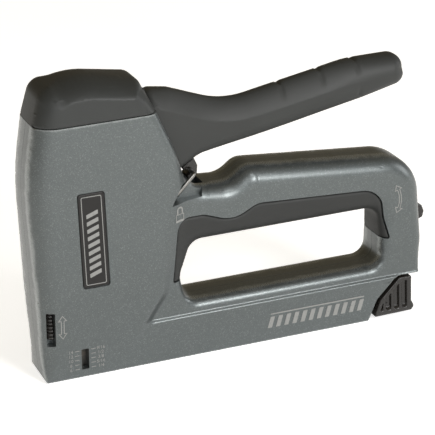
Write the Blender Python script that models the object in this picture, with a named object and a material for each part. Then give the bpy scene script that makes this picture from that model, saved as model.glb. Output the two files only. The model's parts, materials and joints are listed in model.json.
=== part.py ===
"""Hand staple gun: two cast housing halves round a spring-driven striker and a pull-out magazine.

The profile lies in the XZ plane: x runs from the nose to the rear, z runs up from the base, and the
parting plane is y = 0. All sizes below are in millimetres, and MM turns them into metres when a mesh
is made. Profile x is measured from the nose's front corner; ORIGIN_X moves the origin to the middle
of the length.
"""

import math

import bmesh
import bpy
import mathutils
import numpy as np

MM = 0.001
GAP = 0.3                    # clearance between neighbouring pieces

# Housing profile
BODY_REAR = 181.8            # rear edge of the housing
BODY_FRONT_BULGE = 1.3       # how far the head's front swells ahead of the nose corner
HEAD_TOP = 117.2             # parting line between metal head and top cap
HEAD_REAR_TOP = 56.2         # head's rear edge at the parting line
THROAT_X = 68.4              # foot of the head's rear edge
THROAT_Z = 84.0
SADDLE_Z = 78.7              # lowest point of the grip, behind the head
GRIP_CREST_X = 98.0
GRIP_CREST_Z = 84.2
GRIP_REAR_Z = 76.4
BASE_REAR = 154.3            # rear end of the flat base
CUTOUT_TOP = 20.2            # top of the cut-out for the magazine's end cap
CUTOUT_REAR = 168.5
LEDGE_Z = 20.4               # step along the top of the magazine section

# Finger opening
OPENING_FRONT = 64.4
OPENING_REAR = 161.8
OPENING_BOTTOM = 26.0
OPENING_TOP = 53.8

# Half widths
HEAD_HALF = 17.4
NOSE_HALF = 12.2
GRIP_HALF = 13.0
MAGAZINE_HALF = 13.0
BAND_HALF = 11.9
WALL = 2.4
INSERT_WALL = 3.0            # rubber at the sides of the grip insert
CHANNEL_HALF = 8.6           # half width of the magazine channel
CHANNEL_TOP = 17.6
CHEEK_WALL = 1.1             # least metal beside the lever's slot
FRONT_WALL = 3.2

# Top cap
CAP_HEIGHT = 20.4            # from the parting line to the top of the dome
CAP_WALL = 2.2
CAP_FRONT_X = 2.9            # foot of the cap's front edge
CAP_SIDE_WALL = 5.6          # thick enough for the rounded shoulders
CAP_TOP = HEAD_TOP + CAP_HEIGHT

# Lever
LEVER_PIVOT = (55.0, 99.0)
LEVER_HALF = 8.6
LEVER_TAIL_X = 176.4
LEVER_TAIL_Z = 115.0
LEVER_ARM_HALF = 4.6
LEVER_SLOT_HALF = LEVER_HALF + 0.7
LEVER_PIN_R = 2.5
LEVER_BUSH_R = 4.6
ROLLER_X = 15.5
ROLLER_Z = 90.0
ROLLER_R = 3.4
ROLLER_HALF = 3.4
ROLLER_PIN_R = 1.2

# Lock bail and the hook that it catches
BAIL_PIVOT = (63.9, 76.0)
BAIL_TOP = (73.4, 85.1)
BAIL_WIRE_R = 0.95
BAIL_HALF = 10.2
NOTCH_HALF = BAIL_HALF - BAIL_WIRE_R - GAP
NOTCH_STEP = 0.7             # least depth of the notch in the housing's side
HOOK_HALF = 4.2
HOOK_SLOT_HALF = HOOK_HALF + 0.8

# Striker, driver blade and main spring
STRIKER_X = 15.0
STRIKER_HALF = 8.0
STRIKER_DEPTH = 11.0
STRIKER_BOTTOM = 62.0
STRIKER_TOP = 99.0
STRIKER_CHEEK = 2.6
BLADE_X = 5.6
BLADE_THICK = 1.3
BLADE_HALF = CHANNEL_HALF - 3.0
BLADE_BOTTOM = 1.2
SPRING_R = 4.6
SPRING_WIRE_R = 1.0
SPRING_TURNS = 5
SPRING_SEAT_Z = HEAD_TOP + 11.8
SEAT_THICK = 2.0
BUMPER_HEIGHT = 5.0

# Magazine
RAIL_HALF = 0.535 * CHANNEL_HALF
RAIL_FRONT = 7.6
RAIL_REAR = 158.0
RAIL_BOTTOM = 3.0
RAIL_TOP = 14.6
SHEET = 1.1                  # sheet steel of the rail, liner and nose guide
GUIDE_GAP = 0.5              # clearance of the nose guide in the channel
LINER_REAR = 150.0
ROD_R = 0.26 * RAIL_HALF
ROD_Z = 8.6
PUSHER_X = 10.6
PUSHER_LENGTH = 16.0
COIL_R = 0.565 * RAIL_HALF
COIL_WIRE_R = 0.45
COIL_TURNS = 22
CAP_FRONT = 156.4
CAP_REAR = 176.0
END_CAP_HALF = 12.6
RIB_COUNT = 4
RIB_DEPTH = 0.9

# Rear latch
LATCH_PIVOT = (176.2, 47.4)
LATCH_REAR = 187.0
LATCH_HALF = 3.6
LATCH_PIN_R = 1.5

# Selector, window, label and screws
SELECTOR_X = (1.3, 4.9)
SELECTOR_Z = (18.2, 34.6)
SELECTOR_LENGTH = 13.6
SELECTOR_FLOOR = CHANNEL_HALF + 0.9   # y distance of the recess floor from the parting plane
SELECTOR_BACK = 1.6          # thickness of the metal behind the recess
SELECTOR_RIBS = 7
SELECTOR_SLOPE = 0.55
WINDOW_X = (16.2, 19.6)
WINDOW_Z = (4.2, 14.4)
LABEL_X = (18.2, 30.0)
LABEL_Z = (44.0, 87.0)
LABEL_THICK = 0.5
SCREWS = {"head_top": (41.5, HEAD_TOP - 6.2), "head_middle": (29.5, 72.0), "head_rear": (53.2, 47.0),
          "nose": (33.0, 30.0), "grip": (120.0, 75.2), "rear": (173.6, 29.6)}
SCREW_R = 1.5
SCREW_HEAD_R = 3.0
SCREW_HEAD_DEPTH = 1.8
SEAT_DEPTH = 2.8
POST_WALL = 1.3
BORE_FLOOR = 3.0

ORIGIN_X = (LATCH_REAR - BODY_FRONT_BULGE) / 2
ARC_STEP = math.radians(24)
EDGE_STEP = 13.0
GRID_STEP = 11.0
SPACING = 3.2                # closest that two free surface points may lie
PARTING = GAP / 2

# Each corner of an outline: x, z, fillet radius, roll (how far in the edge is rounded), drop (how
# far the side falls at the edge). Counter-clockwise.
HOUSING_LOWER = [
    (0.0, 0.0, 1.5, 1.6, 1.2), (BASE_REAR, 0.0, 0.6, 1.0, 0.7),
    (BASE_REAR + 4.2, 10.0, 6.0, 1.0, 0.6), (CUTOUT_REAR, CUTOUT_TOP, 5.0, 1.0, 0.6),
    (BODY_REAR - 2.0, CUTOUT_TOP - 0.4, 1.0, 1.4, 1.0), (BODY_REAR, 34.0, 40.0, 5.0, 5.0),
    (BODY_REAR - 0.4, GRIP_REAR_Z, 20.0, 8.0, 7.6), (GRIP_CREST_X, GRIP_CREST_Z, 9.0, 8.5, 7.6),
    (90.0, SADDLE_Z - 0.4, 11.0, 8.5, 7.6), (THROAT_X + 6.0, SADDLE_Z, 6.0, 7.0, 6.0),
    (THROAT_X, THROAT_Z, 4.0, 5.0, 4.0), (HEAD_REAR_TOP + 6.6, 101.0, 90.0, 5.0, 4.0),
]
HEAD_TOP_REAR = (HEAD_REAR_TOP, HEAD_TOP, 0.0, 5.0, 4.0)
HEAD_TOP_FRONT = (CAP_FRONT_X, HEAD_TOP, 0.0, 10.0, 9.5)
HOUSING_FRONT = [
    (-BODY_FRONT_BULGE - 0.6, 92.0, 120.0, 10.0, 9.5), (-0.6, 12.0, 30.0, 8.0, 6.0),
]
OPENING = [
    (OPENING_FRONT + 2.0, OPENING_BOTTOM, 7.0, 4.5, 4.0),
    (OPENING_REAR, OPENING_BOTTOM, 13.0, 4.5, 4.5),
    (OPENING_REAR, 40.0, 8.0, 6.0, 6.0), (OPENING_REAR - 0.6, OPENING_TOP, 9.0, 9.0, 7.0),
    (OPENING_FRONT + 7.4, OPENING_TOP - 0.2, 7.0, 9.0, 7.0), (OPENING_FRONT, 40.0, 12.0, 4.2, 5.0),
]
INSERT_ZONE = [
    (OPENING_FRONT + 1.6, 37.6, 0.0), (OPENING_REAR - 3.0, 39.0, 0.0), (165.4, 39.0, 1.0),
    (160.2, 64.3, 11.0), (101.0, 67.8, 11.0), (89.5, 61.8, 14.0), (76.0, 66.8, 9.0),
    (63.4, 66.8, 9.0), (60.0, 37.0, 1.0),
]
HEAD_HOLLOW = [
    (FRONT_WALL, 22.0), (46.0, 22.0), (56.4, 36.0), (57.2, 68.0), (59.0, 86.0), (55.6, 103.0),
    (52.0, HEAD_TOP - 4.2), (50.0, HEAD_TOP + 12.8), (6.0, HEAD_TOP + 12.8),
    (6.0, HEAD_TOP - 2.0), (3.0, 94.0),
]
GRIP_HOLLOW = [
    (102.0, 70.6), (152.0, 68.0), (163.0, 62.0), (168.2, 44.0), (166.4, 27.0), (177.8, 27.0),
    (177.8, 55.0), (173.0, 68.0), (160.0, 74.8), (102.0, 80.6),
]
HOOK_SLOT = [(60.5, 70.0), (79.0, 70.0), (79.0, 87.6), (60.5, 87.6)]
LEVER_SLOT = [(54.0, 83.5), (75.0, 83.5), (75.0, HEAD_TOP + 4.8), (50.0, HEAD_TOP + 4.8),
              (52.0, 103.0)]
BAIL_NOTCH = [(61.2, 73.2), (77.4, 73.2), (77.4, 83.0), (66.8, 83.0)]
LATCH_SLOT = [(169.0, 40.0), (190.0, 40.0), (190.0, 57.0), (169.0, 57.0)]


def rounded(corners, arc_step=ARC_STEP):
    """Outline points (x, z, roll, drop) of corners with fillets, with long edges divided."""
    corners = np.array([tuple(c) + (0.0,) * (5 - len(c)) for c in corners], float)
    count = len(corners)
    points = []
    for i in range(count):
        corner = corners[i]
        before = corners[i - 1][:2] - corner[:2]
        after = corners[(i + 1) % count][:2] - corner[:2]
        reach = 0.48 * min(np.linalg.norm(before), np.linalg.norm(after))
        u = before / np.linalg.norm(before)
        v = after / np.linalg.norm(after)
        half = math.acos(max(-1.0, min(1.0, float(u @ v)))) / 2
        radius = min(corner[2], reach * math.tan(half))
        if radius < 0.05 or half > 1.55:
            points.append([corner[0], corner[1], corner[3], corner[4]])
            continue
        tangent = radius / math.tan(half)
        centre = corner[:2] + (u + v) / np.linalg.norm(u + v) * radius / math.sin(half)
        start = corner[:2] + u * tangent - centre
        turn = math.pi - 2 * half
        side = math.copysign(1.0, u[1] * v[0] - u[0] * v[1])
        steps = max(1, math.ceil(turn / arc_step))
        for k in range(steps + 1):
            angle = side * turn * k / steps
            cos, sin = math.cos(angle), math.sin(angle)
            x = centre[0] + start[0] * cos - start[1] * sin
            z = centre[1] + start[0] * sin + start[1] * cos
            points.append([x, z, corner[3], corner[4]])
    return divided(np.array(points), EDGE_STEP)


def divided(points, longest):
    """The same closed outline with no edge longer than the given length."""
    out = []
    for start, end in zip(points, np.roll(points, -1, axis=0)):
        parts = max(1, math.ceil(np.linalg.norm((end - start)[:2]) / longest))
        for k in range(parts):
            out.append(start + (end - start) * k / parts)
    return np.array(out)


def circle(centre, radius, sides=12):
    """Closed loop of points round a centre in the profile."""
    angles = np.arange(sides) * 2 * math.pi / sides
    return np.stack([centre[0] + radius * np.cos(angles), centre[1] + radius * np.sin(angles)], 1)


def rectangle(xs, zs, grow=0.0):
    """Corner points of an upright rectangle in the profile, grown on each side."""
    return np.array([(xs[0] - grow, zs[0] - grow), (xs[1] + grow, zs[0] - grow),
                     (xs[1] + grow, zs[1] + grow), (xs[0] - grow, zs[1] + grow)])


def inside(loop, x, z):
    """True where a profile point lies inside a closed loop."""
    x0, z0 = np.asarray(loop)[:, 0][:, None], np.asarray(loop)[:, 1][:, None]
    x1, z1 = np.roll(x0, -1, axis=0), np.roll(z0, -1, axis=0)
    crosses = (z0 > z) != (z1 > z)
    slope = np.where(z1 == z0, 1.0, z1 - z0)
    return (crosses & (x < (x1 - x0) * (z - z0) / slope + x0)).sum(axis=0) % 2 == 1


def nearest(loop, x, z):
    """Distance from each point to a closed outline, with the roll and drop of its nearest spot."""
    ends = np.roll(loop, -1, axis=0)
    run = ends[:, :2] - loop[:, :2]
    rel = np.stack([x, z], 1)[:, None, :] - loop[None, :, :2]
    t = np.clip((rel * run).sum(2) / np.maximum((run * run).sum(1), 1e-9), 0, 1)
    distance = np.linalg.norm(rel - t[:, :, None] * run, axis=2)
    best = distance.argmin(axis=1)
    row = np.arange(len(x))
    values = loop[best, 2:] + t[row, best][:, None] * (ends[best, 2:] - loop[best, 2:])
    return distance[row, best], values[:, 0], values[:, 1]


def edge_fall(loop, x, z):
    """How far the side falls towards an outline's rounded edge: a quarter ellipse."""
    distance, roll, drop = nearest(loop, x, z)
    share = np.clip(1 - distance / np.maximum(roll, 0.01), 0, 1)
    return drop * (1 - np.sqrt(1 - share * share))


def smooth(low, high, value):
    """Smooth step from 0 at low to 1 at high."""
    t = np.clip((value - low) / (high - low), 0, 1)
    return t * t * (3 - 2 * t)


def raised(corner):
    """The same corner at the top of the cap."""
    return (corner[0], corner[1] + CAP_HEIGHT) + corner[2:]


HOUSING_EDGE = rounded(HOUSING_LOWER + [HEAD_TOP_REAR, HEAD_TOP_FRONT] + HOUSING_FRONT)
# The head's edges run on upwards into the cap, so that its top isn't rounded under the cap.
ROLLED_EDGE = rounded(HOUSING_LOWER + [HEAD_TOP_REAR, raised(HEAD_TOP_REAR),
                                       raised(HEAD_TOP_FRONT), HEAD_TOP_FRONT] + HOUSING_FRONT)
OPENING_EDGE = rounded(OPENING)
INSERT_EDGE = rounded(INSERT_ZONE)


def body_width(x, z):
    """Half width of head, grip and magazine section, before their edges are rounded."""
    head = NOSE_HALF + (HEAD_HALF - NOSE_HALF) * smooth(-4.0, 44.0, z)
    low = NOSE_HALF + (MAGAZINE_HALF - NOSE_HALF) * np.clip(z / LEDGE_Z, 0, 1)
    grip = BAND_HALF + (GRIP_HALF - BAND_HALF) * smooth(LEDGE_Z + 2, LEDGE_Z + 14, z)
    rear = low + (grip - low) * smooth(LEDGE_Z - 0.6, LEDGE_Z + 0.6, z)
    front = np.where(z < 34, 34 + 0.64 * z, 55.8 + 0.22 * (z - 34))
    spread = 2.5 + 4.0 * smooth(10.0, 60.0, z)
    return head + (rear - head) * smooth(-spread, spread, x - front)


def body_side(x, z):
    """Half width of the closed housing, which keeps a wall of metal beside the lever's slot."""
    shell = body_width(x, z) - edge_fall(ROLLED_EDGE, x, z) - edge_fall(OPENING_EDGE, x, z)
    away = np.where(inside(LEVER_SLOT, x, z), 0.0, nearest(with_edge(LEVER_SLOT), x, z)[0])
    return np.maximum(shell, LEVER_SLOT_HALF + CHEEK_WALL - away)


# ---- Turning shapes into objects ----

def to_world(points):
    """Millimetres in the profile frame to metres in the part's frame."""
    return (np.asarray(points, float) - np.array([ORIGIN_X, 0.0, 0.0])) * MM


def add_object(name, mesh, paint, pivot=None, smooth_angle=35):
    """Links a mesh as a named object, with its origin on its pivot (x, z) where it has one."""
    bm = bmesh.new()
    bm.from_mesh(mesh)
    bmesh.ops.recalc_face_normals(bm, faces=bm.faces)
    bm.to_mesh(mesh)
    bm.free()
    mesh.shade_smooth()
    mesh.set_sharp_from_angle(angle=math.radians(smooth_angle))
    obj = bpy.data.objects.new(name, mesh)
    bpy.context.scene.collection.objects.link(obj)
    mesh.materials.append(paint)
    if pivot is not None:
        place = mathutils.Vector(to_world([pivot[0], 0.0, pivot[1]]))
        mesh.transform(mathutils.Matrix.Translation(-place))
        obj.location = place
    return obj


def material(name, color, roughness, metallic=0.0):
    """Principled BSDF with one colour."""
    made = bpy.data.materials.new(name)
    made.use_nodes = True
    shader = made.node_tree.nodes["Principled BSDF"]
    shader.inputs["Base Color"].default_value = (*color, 1.0)
    shader.inputs["Roughness"].default_value = roughness
    shader.inputs["Metallic"].default_value = metallic
    return made


def free_points(edges, clear_of, x_range, z_range, step):
    """Rings just inside rounded edges and a grid between them, kept apart from every loop."""
    rings = []
    for edge in edges:
        run = np.roll(edge, -1, axis=0)[:, :2] - np.roll(edge, 1, axis=0)[:, :2]
        normal = np.stack([-run[:, 1], run[:, 0]], 1)
        normal /= np.maximum(np.linalg.norm(normal, axis=1), 1e-9)[:, None]
        for share in (0.3, 1.0):
            for side in (1, -1):
                rings.append(edge[:, :2] + side * share * edge[:, 2:3] * normal)
    xs = np.arange(x_range[0], x_range[1], step)
    zs = np.arange(z_range[0], z_range[1], step)
    grid = np.stack(np.meshgrid(xs, zs), -1).reshape(-1, 2)
    kept = np.empty((0, 2))
    for group in rings + [grid]:
        for point in group:
            x, z = point[:1], point[1:]
            close = min(nearest(loop, x, z)[0][0] for loop in clear_of)
            apart = len(kept) == 0 or np.linalg.norm(kept - point, axis=1).min() > SPACING
            if apart and close > 0.3 * SPACING:
                kept = np.vstack([kept, point])
    return kept


def with_edge(loop):
    """A plain loop of x, z as one with zero roll and drop, so that every loop reads alike."""
    loop = np.asarray(loop, float)[:, :2]
    return np.hstack([loop, np.zeros((len(loop), 2))])


def ladder(left, right):
    """Triangles between two upright rows of (height, index) points."""
    faces, i, j = [], 0, 0
    while i < len(left) - 1 or j < len(right) - 1:
        climb_left = j == len(right) - 1
        if i < len(left) - 1 and j < len(right) - 1:
            climb_left = left[i + 1][0] < right[j + 1][0]
        if climb_left:
            faces.append([left[i][1], right[j][1], left[i + 1][1]])
            i += 1
        else:
            faces.append([left[i][1], right[j][1], right[j + 1][1]])
            j += 1
    return faces


def slab(name, loops, region, surfaces, extra=None):
    """Solid between an inner and an outer surface over each region of the profile.

    The loops divide the profile. region(x, z) gives the number of the inner and of the outer
    surface at points, or -1 where there is nothing. surfaces are functions y(x, z).
    """
    verts, edges = [], []
    for loop in loops:
        start = len(verts)
        verts += [mathutils.Vector(p[:2]) for p in loop]
        edges += [(start + k, start + (k + 1) % len(loop)) for k in range(len(loop))]
    if extra is not None:
        verts += [mathutils.Vector(p) for p in extra]
    flat, _, faces, _, _, _ = mathutils.geometry.delaunay_2d_cdt(verts, edges, [], 0, 1e-4)
    flat = np.array([tuple(v) for v in flat])
    faces = np.array([f for f in faces])
    centre = flat[faces].mean(axis=1)
    inner, outer = region(centre[:, 0], centre[:, 1])
    solid = inner >= 0
    heights = [surface(flat[:, 0], flat[:, 1]) for surface in surfaces]
    index, points, polygons = {}, [], []

    def corner(v, which):
        """Index of the 3-D point over a profile vertex on one of the surfaces."""
        if (v, which) not in index:
            index[v, which] = len(points)
            points.append((flat[v, 0], heights[which][v], flat[v, 1]))
        return index[v, which]

    sides, used = {}, {}
    for face, ids in zip(faces, zip(inner, outer, solid)):
        for a, b in zip(face, np.roll(face, -1)):
            sides.setdefault((min(a, b), max(a, b)), []).append(ids)
        if ids[2]:
            polygons.append([corner(v, ids[0]) for v in face])
            polygons.append([corner(v, ids[1]) for v in face[::-1]])
            for v in face:
                used.setdefault(v, set()).update(ids[:2])

    def column(v, low, high):
        """The points over a profile vertex from one surface up to another, in order of height."""
        bottom, top = sorted((heights[low][v], heights[high][v]))
        between = [w for w in used[v] if bottom <= heights[w][v] <= top]
        return [(heights[w][v], corner(v, w)) for w in sorted(between, key=lambda w: heights[w][v])]

    for (a, b), ids in sides.items():
        first = ids[0]
        second = ids[1] if len(ids) > 1 else (-1, -1, False)
        if first[2] and second[2]:
            pairs = [(first[0], second[0]), (first[1], second[1])]
        elif first[2] or second[2]:
            one = first if first[2] else second
            pairs = [(one[0], one[1])]
        else:
            pairs = []
        for low, high in pairs:
            if low != high:
                polygons += ladder(column(a, low, high), column(b, low, high))
    mesh = bpy.data.meshes.new(name)
    mesh.from_pydata(to_world(points).tolist(), [], polygons)
    return mesh


def level(y):
    """Flat surface at one distance from the parting plane."""
    return lambda x, z: np.full(len(x), float(y))


def prism(name, loop, y_low, y_high):
    """Straight solid between two distances from the parting plane."""
    count = len(loop)
    points = [(p[0], y, p[1]) for y in (y_low, y_high) for p in loop]
    faces = [list(range(count)), list(range(count, 2 * count))[::-1]]
    for k in range(count):
        after = (k + 1) % count
        faces.append([k, k + count, after + count, after])
    mesh = bpy.data.meshes.new(name)
    mesh.from_pydata(to_world(points).tolist(), [], faces)
    return mesh


def box(name, xs, ys, zs):
    """Block between two corners."""
    return prism(name, rectangle(xs, zs), ys[0], ys[1])


def turned(name, profile, centre, axis, sides=16):
    """Solid of revolution: profile (radius, along) about an axis 'x', 'y' or 'z' through centre."""
    angles = np.arange(sides) * 2 * math.pi / sides
    place = {"x": (1, 2, 0), "y": (0, 2, 1), "z": (0, 1, 2)}[axis]
    points = []
    for radius, along in profile:
        for angle in angles:
            p = [0.0, 0.0, 0.0]
            p[place[0]] = centre[place[0]] + radius * math.cos(angle)
            p[place[1]] = centre[place[1]] + radius * math.sin(angle)
            p[place[2]] = along
            points.append(p)
    rows = len(profile)
    faces = []
    for r in range(rows - 1):
        for k in range(sides):
            after = (k + 1) % sides
            faces.append([r * sides + k, r * sides + after,
                          (r + 1) * sides + after, (r + 1) * sides + k])
    if profile[0] == profile[-1]:
        rows -= 1
        faces = [[v % (rows * sides) for v in face] for face in faces]
        points = points[:rows * sides]
    else:
        faces.append(list(range(sides))[::-1])
        faces.append([(rows - 1) * sides + k for k in range(sides)])
    mesh = bpy.data.meshes.new(name)
    mesh.from_pydata(to_world(points).tolist(), [], faces)
    return mesh


def tube_along(name, path, radius, sides=8):
    """Round wire along a path of points, with flat ends; its section is carried without twist."""
    path = np.asarray(path, float)
    run = np.gradient(path, axis=0)
    run /= np.linalg.norm(run, axis=1)[:, None]
    normal = np.cross(run[0], [0.3, 0.2, 0.9])
    points = []
    angles = np.arange(sides) * 2 * math.pi / sides
    for place, along in zip(path, run):
        normal = normal - along * (normal @ along)
        normal /= np.linalg.norm(normal)
        other = np.cross(along, normal)
        ring = place + radius * (np.cos(angles)[:, None] * normal + np.sin(angles)[:, None] * other)
        points += ring.tolist()
    rows = len(path)
    faces = [list(range(sides)), [(rows - 1) * sides + k for k in range(sides)][::-1]]
    for r in range(rows - 1):
        for k in range(sides):
            after = (k + 1) % sides
            faces.append([r * sides + k, (r + 1) * sides + k,
                          (r + 1) * sides + after, r * sides + after])
    mesh = bpy.data.meshes.new(name)
    mesh.from_pydata(to_world(points).tolist(), [], faces)
    return mesh


def coil(name, centre, axis, low, high, radius, wire, turns, steps=10, sides=6):
    """Helical spring between two stops, wire centre to wire centre one wire inside them."""
    count = turns * steps + 1
    angle = np.linspace(0, 2 * math.pi * turns, count)
    along = np.linspace(low + wire, high - wire, count)
    across = radius * np.cos(angle), radius * np.sin(angle)
    if axis == "z":
        path = np.stack([centre[0] + across[0], centre[1] + across[1], along], 1)
    else:
        path = np.stack([along, centre[1] + across[0], centre[2] + across[1]], 1)
    return tube_along(name, path, wire, sides)


def cut(target, cutter_mesh, operation="DIFFERENCE"):
    """Boolean with a hidden cutter, applied to the target's mesh so that the result stands alone."""
    helper = bpy.data.objects.new(target.name + "_cutter", cutter_mesh)
    bpy.context.scene.collection.objects.link(helper)
    bm = bmesh.new()
    bm.from_mesh(cutter_mesh)
    bmesh.ops.recalc_face_normals(bm, faces=bm.faces)
    bm.to_mesh(cutter_mesh)
    bm.free()
    helper.hide_render = True
    helper.display_type = "WIRE"
    modifier = target.modifiers.new("cut_" + str(len(target.modifiers)), "BOOLEAN")
    modifier.operation = operation
    modifier.object = helper
    modifier.solver = "EXACT"
    return target


# ---- Housing ----

HEAD_HOLLOW_LOOP = with_edge(HEAD_HOLLOW)
GRIP_HOLLOW_LOOP = with_edge(GRIP_HOLLOW)


def fixed_loops():
    """Loops shared by both housing halves, by name."""
    loops = {
        "outline": HOUSING_EDGE, "opening": OPENING_EDGE, "insert": INSERT_EDGE,
        "head": HEAD_HOLLOW_LOOP, "grip": GRIP_HOLLOW_LOOP,
        "channel": with_edge(rectangle((FRONT_WALL, BODY_REAR + 9), (-6.0, CHANNEL_TOP))),
        "throat": with_edge(rectangle((FRONT_WALL, 24.0), (CHANNEL_TOP, 22.0))),
        "hook": with_edge(HOOK_SLOT), "lever": with_edge(LEVER_SLOT),
        "notch": with_edge(BAIL_NOTCH), "latch": with_edge(LATCH_SLOT),
        "lever_bush": with_edge(circle(LEVER_PIVOT, LEVER_BUSH_R + GAP, 16)),
        "bail": with_edge(circle(BAIL_PIVOT, BAIL_WIRE_R + GAP, 12)),
        "latch_pin": with_edge(circle(LATCH_PIVOT, LATCH_PIN_R + GAP / 3, 10)),
    }
    return loops


def housing_half(name, side, paint):
    """One cast half: side -1 is the face with the label, +1 the face with the screw heads."""
    loops = fixed_loops()
    for key, place in SCREWS.items():
        loops["post_" + key] = with_edge(circle(place, SCREW_HEAD_R + GAP + POST_WALL, 12))
        loops["bore_" + key] = with_edge(circle(place, SCREW_R + GAP, 8))
        if side > 0:
            loops["seat_" + key] = with_edge(circle(place, SCREW_HEAD_R + GAP, 12))
    if side < 0:
        loops["window"] = with_edge(rectangle(WINDOW_X, WINDOW_Z))
        loops["label"] = with_edge(rectangle(LABEL_X, LABEL_Z, GAP))
        loops["selector"] = with_edge(rectangle(SELECTOR_X, SELECTOR_Z))
        loops["frame"] = with_edge(rectangle(SELECTOR_X, SELECTOR_Z, SELECTOR_BACK))
    seats = {key: float(body_side(np.array([p[0]]), np.array([p[1]]))[0])
             for key, p in SCREWS.items()}
    names = ["parting", "side", "wall", "channel", "lever", "hook", "notch", "latch", "pocket",
             "label", "selector", "pin_floor", "selector_back"]
    table = [level(PARTING), body_side, lambda x, z: body_side(x, z) - WALL,
             level(CHANNEL_HALF), level(LEVER_SLOT_HALF), level(HOOK_SLOT_HALF),
             lambda x, z: np.minimum(NOTCH_HALF, body_side(x, z) - NOTCH_STEP),
             level(LATCH_HALF + 0.6), level(HEAD_HALF - BORE_FLOOR),
             lambda x, z: body_side(x, z) - LABEL_THICK - GAP, level(SELECTOR_FLOOR),
             level(GRIP_HALF - 2.0), level(SELECTOR_FLOOR - SELECTOR_BACK)]
    for key in SCREWS:
        names += ["seat_" + key, "floor_" + key]
        table += [level(seats[key] - SEAT_DEPTH), level(seats[key] - BORE_FLOOR)]
    number = {key: k for k, key in enumerate(names)}

    def region(x, z):
        """Inner and outer surface numbers; later lines win over earlier ones."""
        within = {key: inside(loop, x, z) for key, loop in loops.items()}
        low = np.full(len(x), number["parting"])
        high = np.full(len(x), number["side"])
        low[within["head"]] = number["wall"]
        low[within["grip"]] = number["wall"]
        low[within["channel"] | within["throat"]] = number["channel"]
        low[within["hook"] & ~within["head"]] = number["hook"]
        low[within["lever"]] = number["lever"]
        low[within["latch"]] = number["latch"]
        low[within["lever_bush"]] = number["pocket"]
        low[within["latch_pin"]] = number["pin_floor"]
        high[within["notch"] & ~within["lever"]] = number["notch"]
        low[within["notch"] & ~within["lever"]] = number["hook"]
        if side < 0:
            high[within["label"]] = number["label"]
            high[within["selector"]] = number["selector"]
            hollow = within["head"] | within["throat"]
            low[within["frame"] & hollow] = number["selector_back"]
        for key in SCREWS:
            low[within["post_" + key]] = number["parting"]
            if side > 0:
                high[within["seat_" + key]] = number["seat_" + key]
            else:
                low[within["bore_" + key]] = number["floor_" + key]
        gone = ~within["outline"] | within["opening"] | within["insert"] | within["bail"]
        if side > 0:
            for key in SCREWS:
                gone |= within["bore_" + key]
        else:
            gone |= within["window"]
        low[gone] = -1
        high[gone] = -1
        return low, high

    extra = free_points([HOUSING_EDGE, OPENING_EDGE], list(loops.values()),
                        (4.0, BODY_REAR), (4.0, HEAD_TOP), GRID_STEP)
    mesh = slab(name, list(loops.values()), region, table, extra)
    if side < 0:
        mesh.transform(mathutils.Matrix.Scale(-1, 4, (0, 1, 0)))
    return add_object(name, mesh, paint)


def top_cap(paint):
    """Plastic cap over the head: a domed shell with an open underside and a slot for the lever."""
    front = CAP_FRONT_X
    corners = [
        (front, HEAD_TOP + GAP, 0.0, 10.0, 9.5), (HEAD_REAR_TOP, HEAD_TOP + GAP, 0.0, 5.0, 4.0),
        (HEAD_REAR_TOP - 5.0, CAP_TOP - 4.6, 5.0, 6.0, 6.0),
        (24.0, CAP_TOP + 0.8, 60.0, 7.0, 15.0), (front + 3.4, CAP_TOP - 3.8, 4.0, 8.0, 10.0),
    ]
    outline = rounded(corners)
    skirt = outline.copy()
    base = outline[:, 1] < HEAD_TOP + 2 * GAP

    def side(x, z):
        """Half width of the cap; only its front, top and rear edges are rounded."""
        loop = skirt.copy()
        loop[base, 1] -= 40.0
        return HEAD_HALF - edge_fall(loop, x, z)

    def region(x, z):
        """Everything inside the outline."""
        within = inside(outline, x, z)
        return np.where(within, 0, -1), np.where(within, 1, -1)

    extra = free_points([outline], [outline], (6.0, HEAD_REAR_TOP), (HEAD_TOP + 4, CAP_TOP), 8.0)
    mesh = slab("top_cap", [outline], region, [lambda x, z: -side(x, z), side], extra)
    obj = add_object("top_cap", mesh, paint)
    room = [(front + 3.0, HEAD_TOP - 2.0), (HEAD_REAR_TOP - CAP_WALL - 2.0, HEAD_TOP - 2.0),
            (HEAD_REAR_TOP - 7.6, CAP_TOP - 8.4), (front + 6.4, CAP_TOP - 8.4)]
    half = HEAD_HALF - CAP_SIDE_WALL
    cut(obj, prism("cap_room", room, -half, half))
    slot = rectangle((HEAD_REAR_TOP - 12.0, HEAD_REAR_TOP + 4.0), (HEAD_TOP - 2.0, HEAD_TOP + 9.6))
    cut(obj, prism("cap_slot", slot, -LEVER_SLOT_HALF, LEVER_SLOT_HALF))
    return obj


def grip_insert(paint):
    """Rubber channel lining the top, front and rear of the finger opening."""
    shrunk = inset(INSERT_EDGE, GAP)

    def region(x, z):
        """Inside the insert's own edge and outside the finger opening."""
        within = inside(shrunk, x, z) & ~inside(OPENING_EDGE, x, z)
        return np.where(within, 0, -1), np.where(within, 1, -1)

    loops = [with_edge(shrunk), OPENING_EDGE]
    extra = free_points([OPENING_EDGE], loops, (60.0, 168.0), (36.0, 68.0), 8.0)
    mesh = slab("grip_insert", loops, region, [lambda x, z: -body_side(x, z), body_side], extra)
    obj = add_object("grip_insert", mesh, paint)
    core = rectangle((OPENING_FRONT + 11.6, OPENING_REAR - 11.8), (OPENING_TOP + 4.0, GRIP_REAR_Z))
    half = GRIP_HALF - INSERT_WALL
    cut(obj, prism("insert_core", core, -half, half))
    return obj


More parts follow.
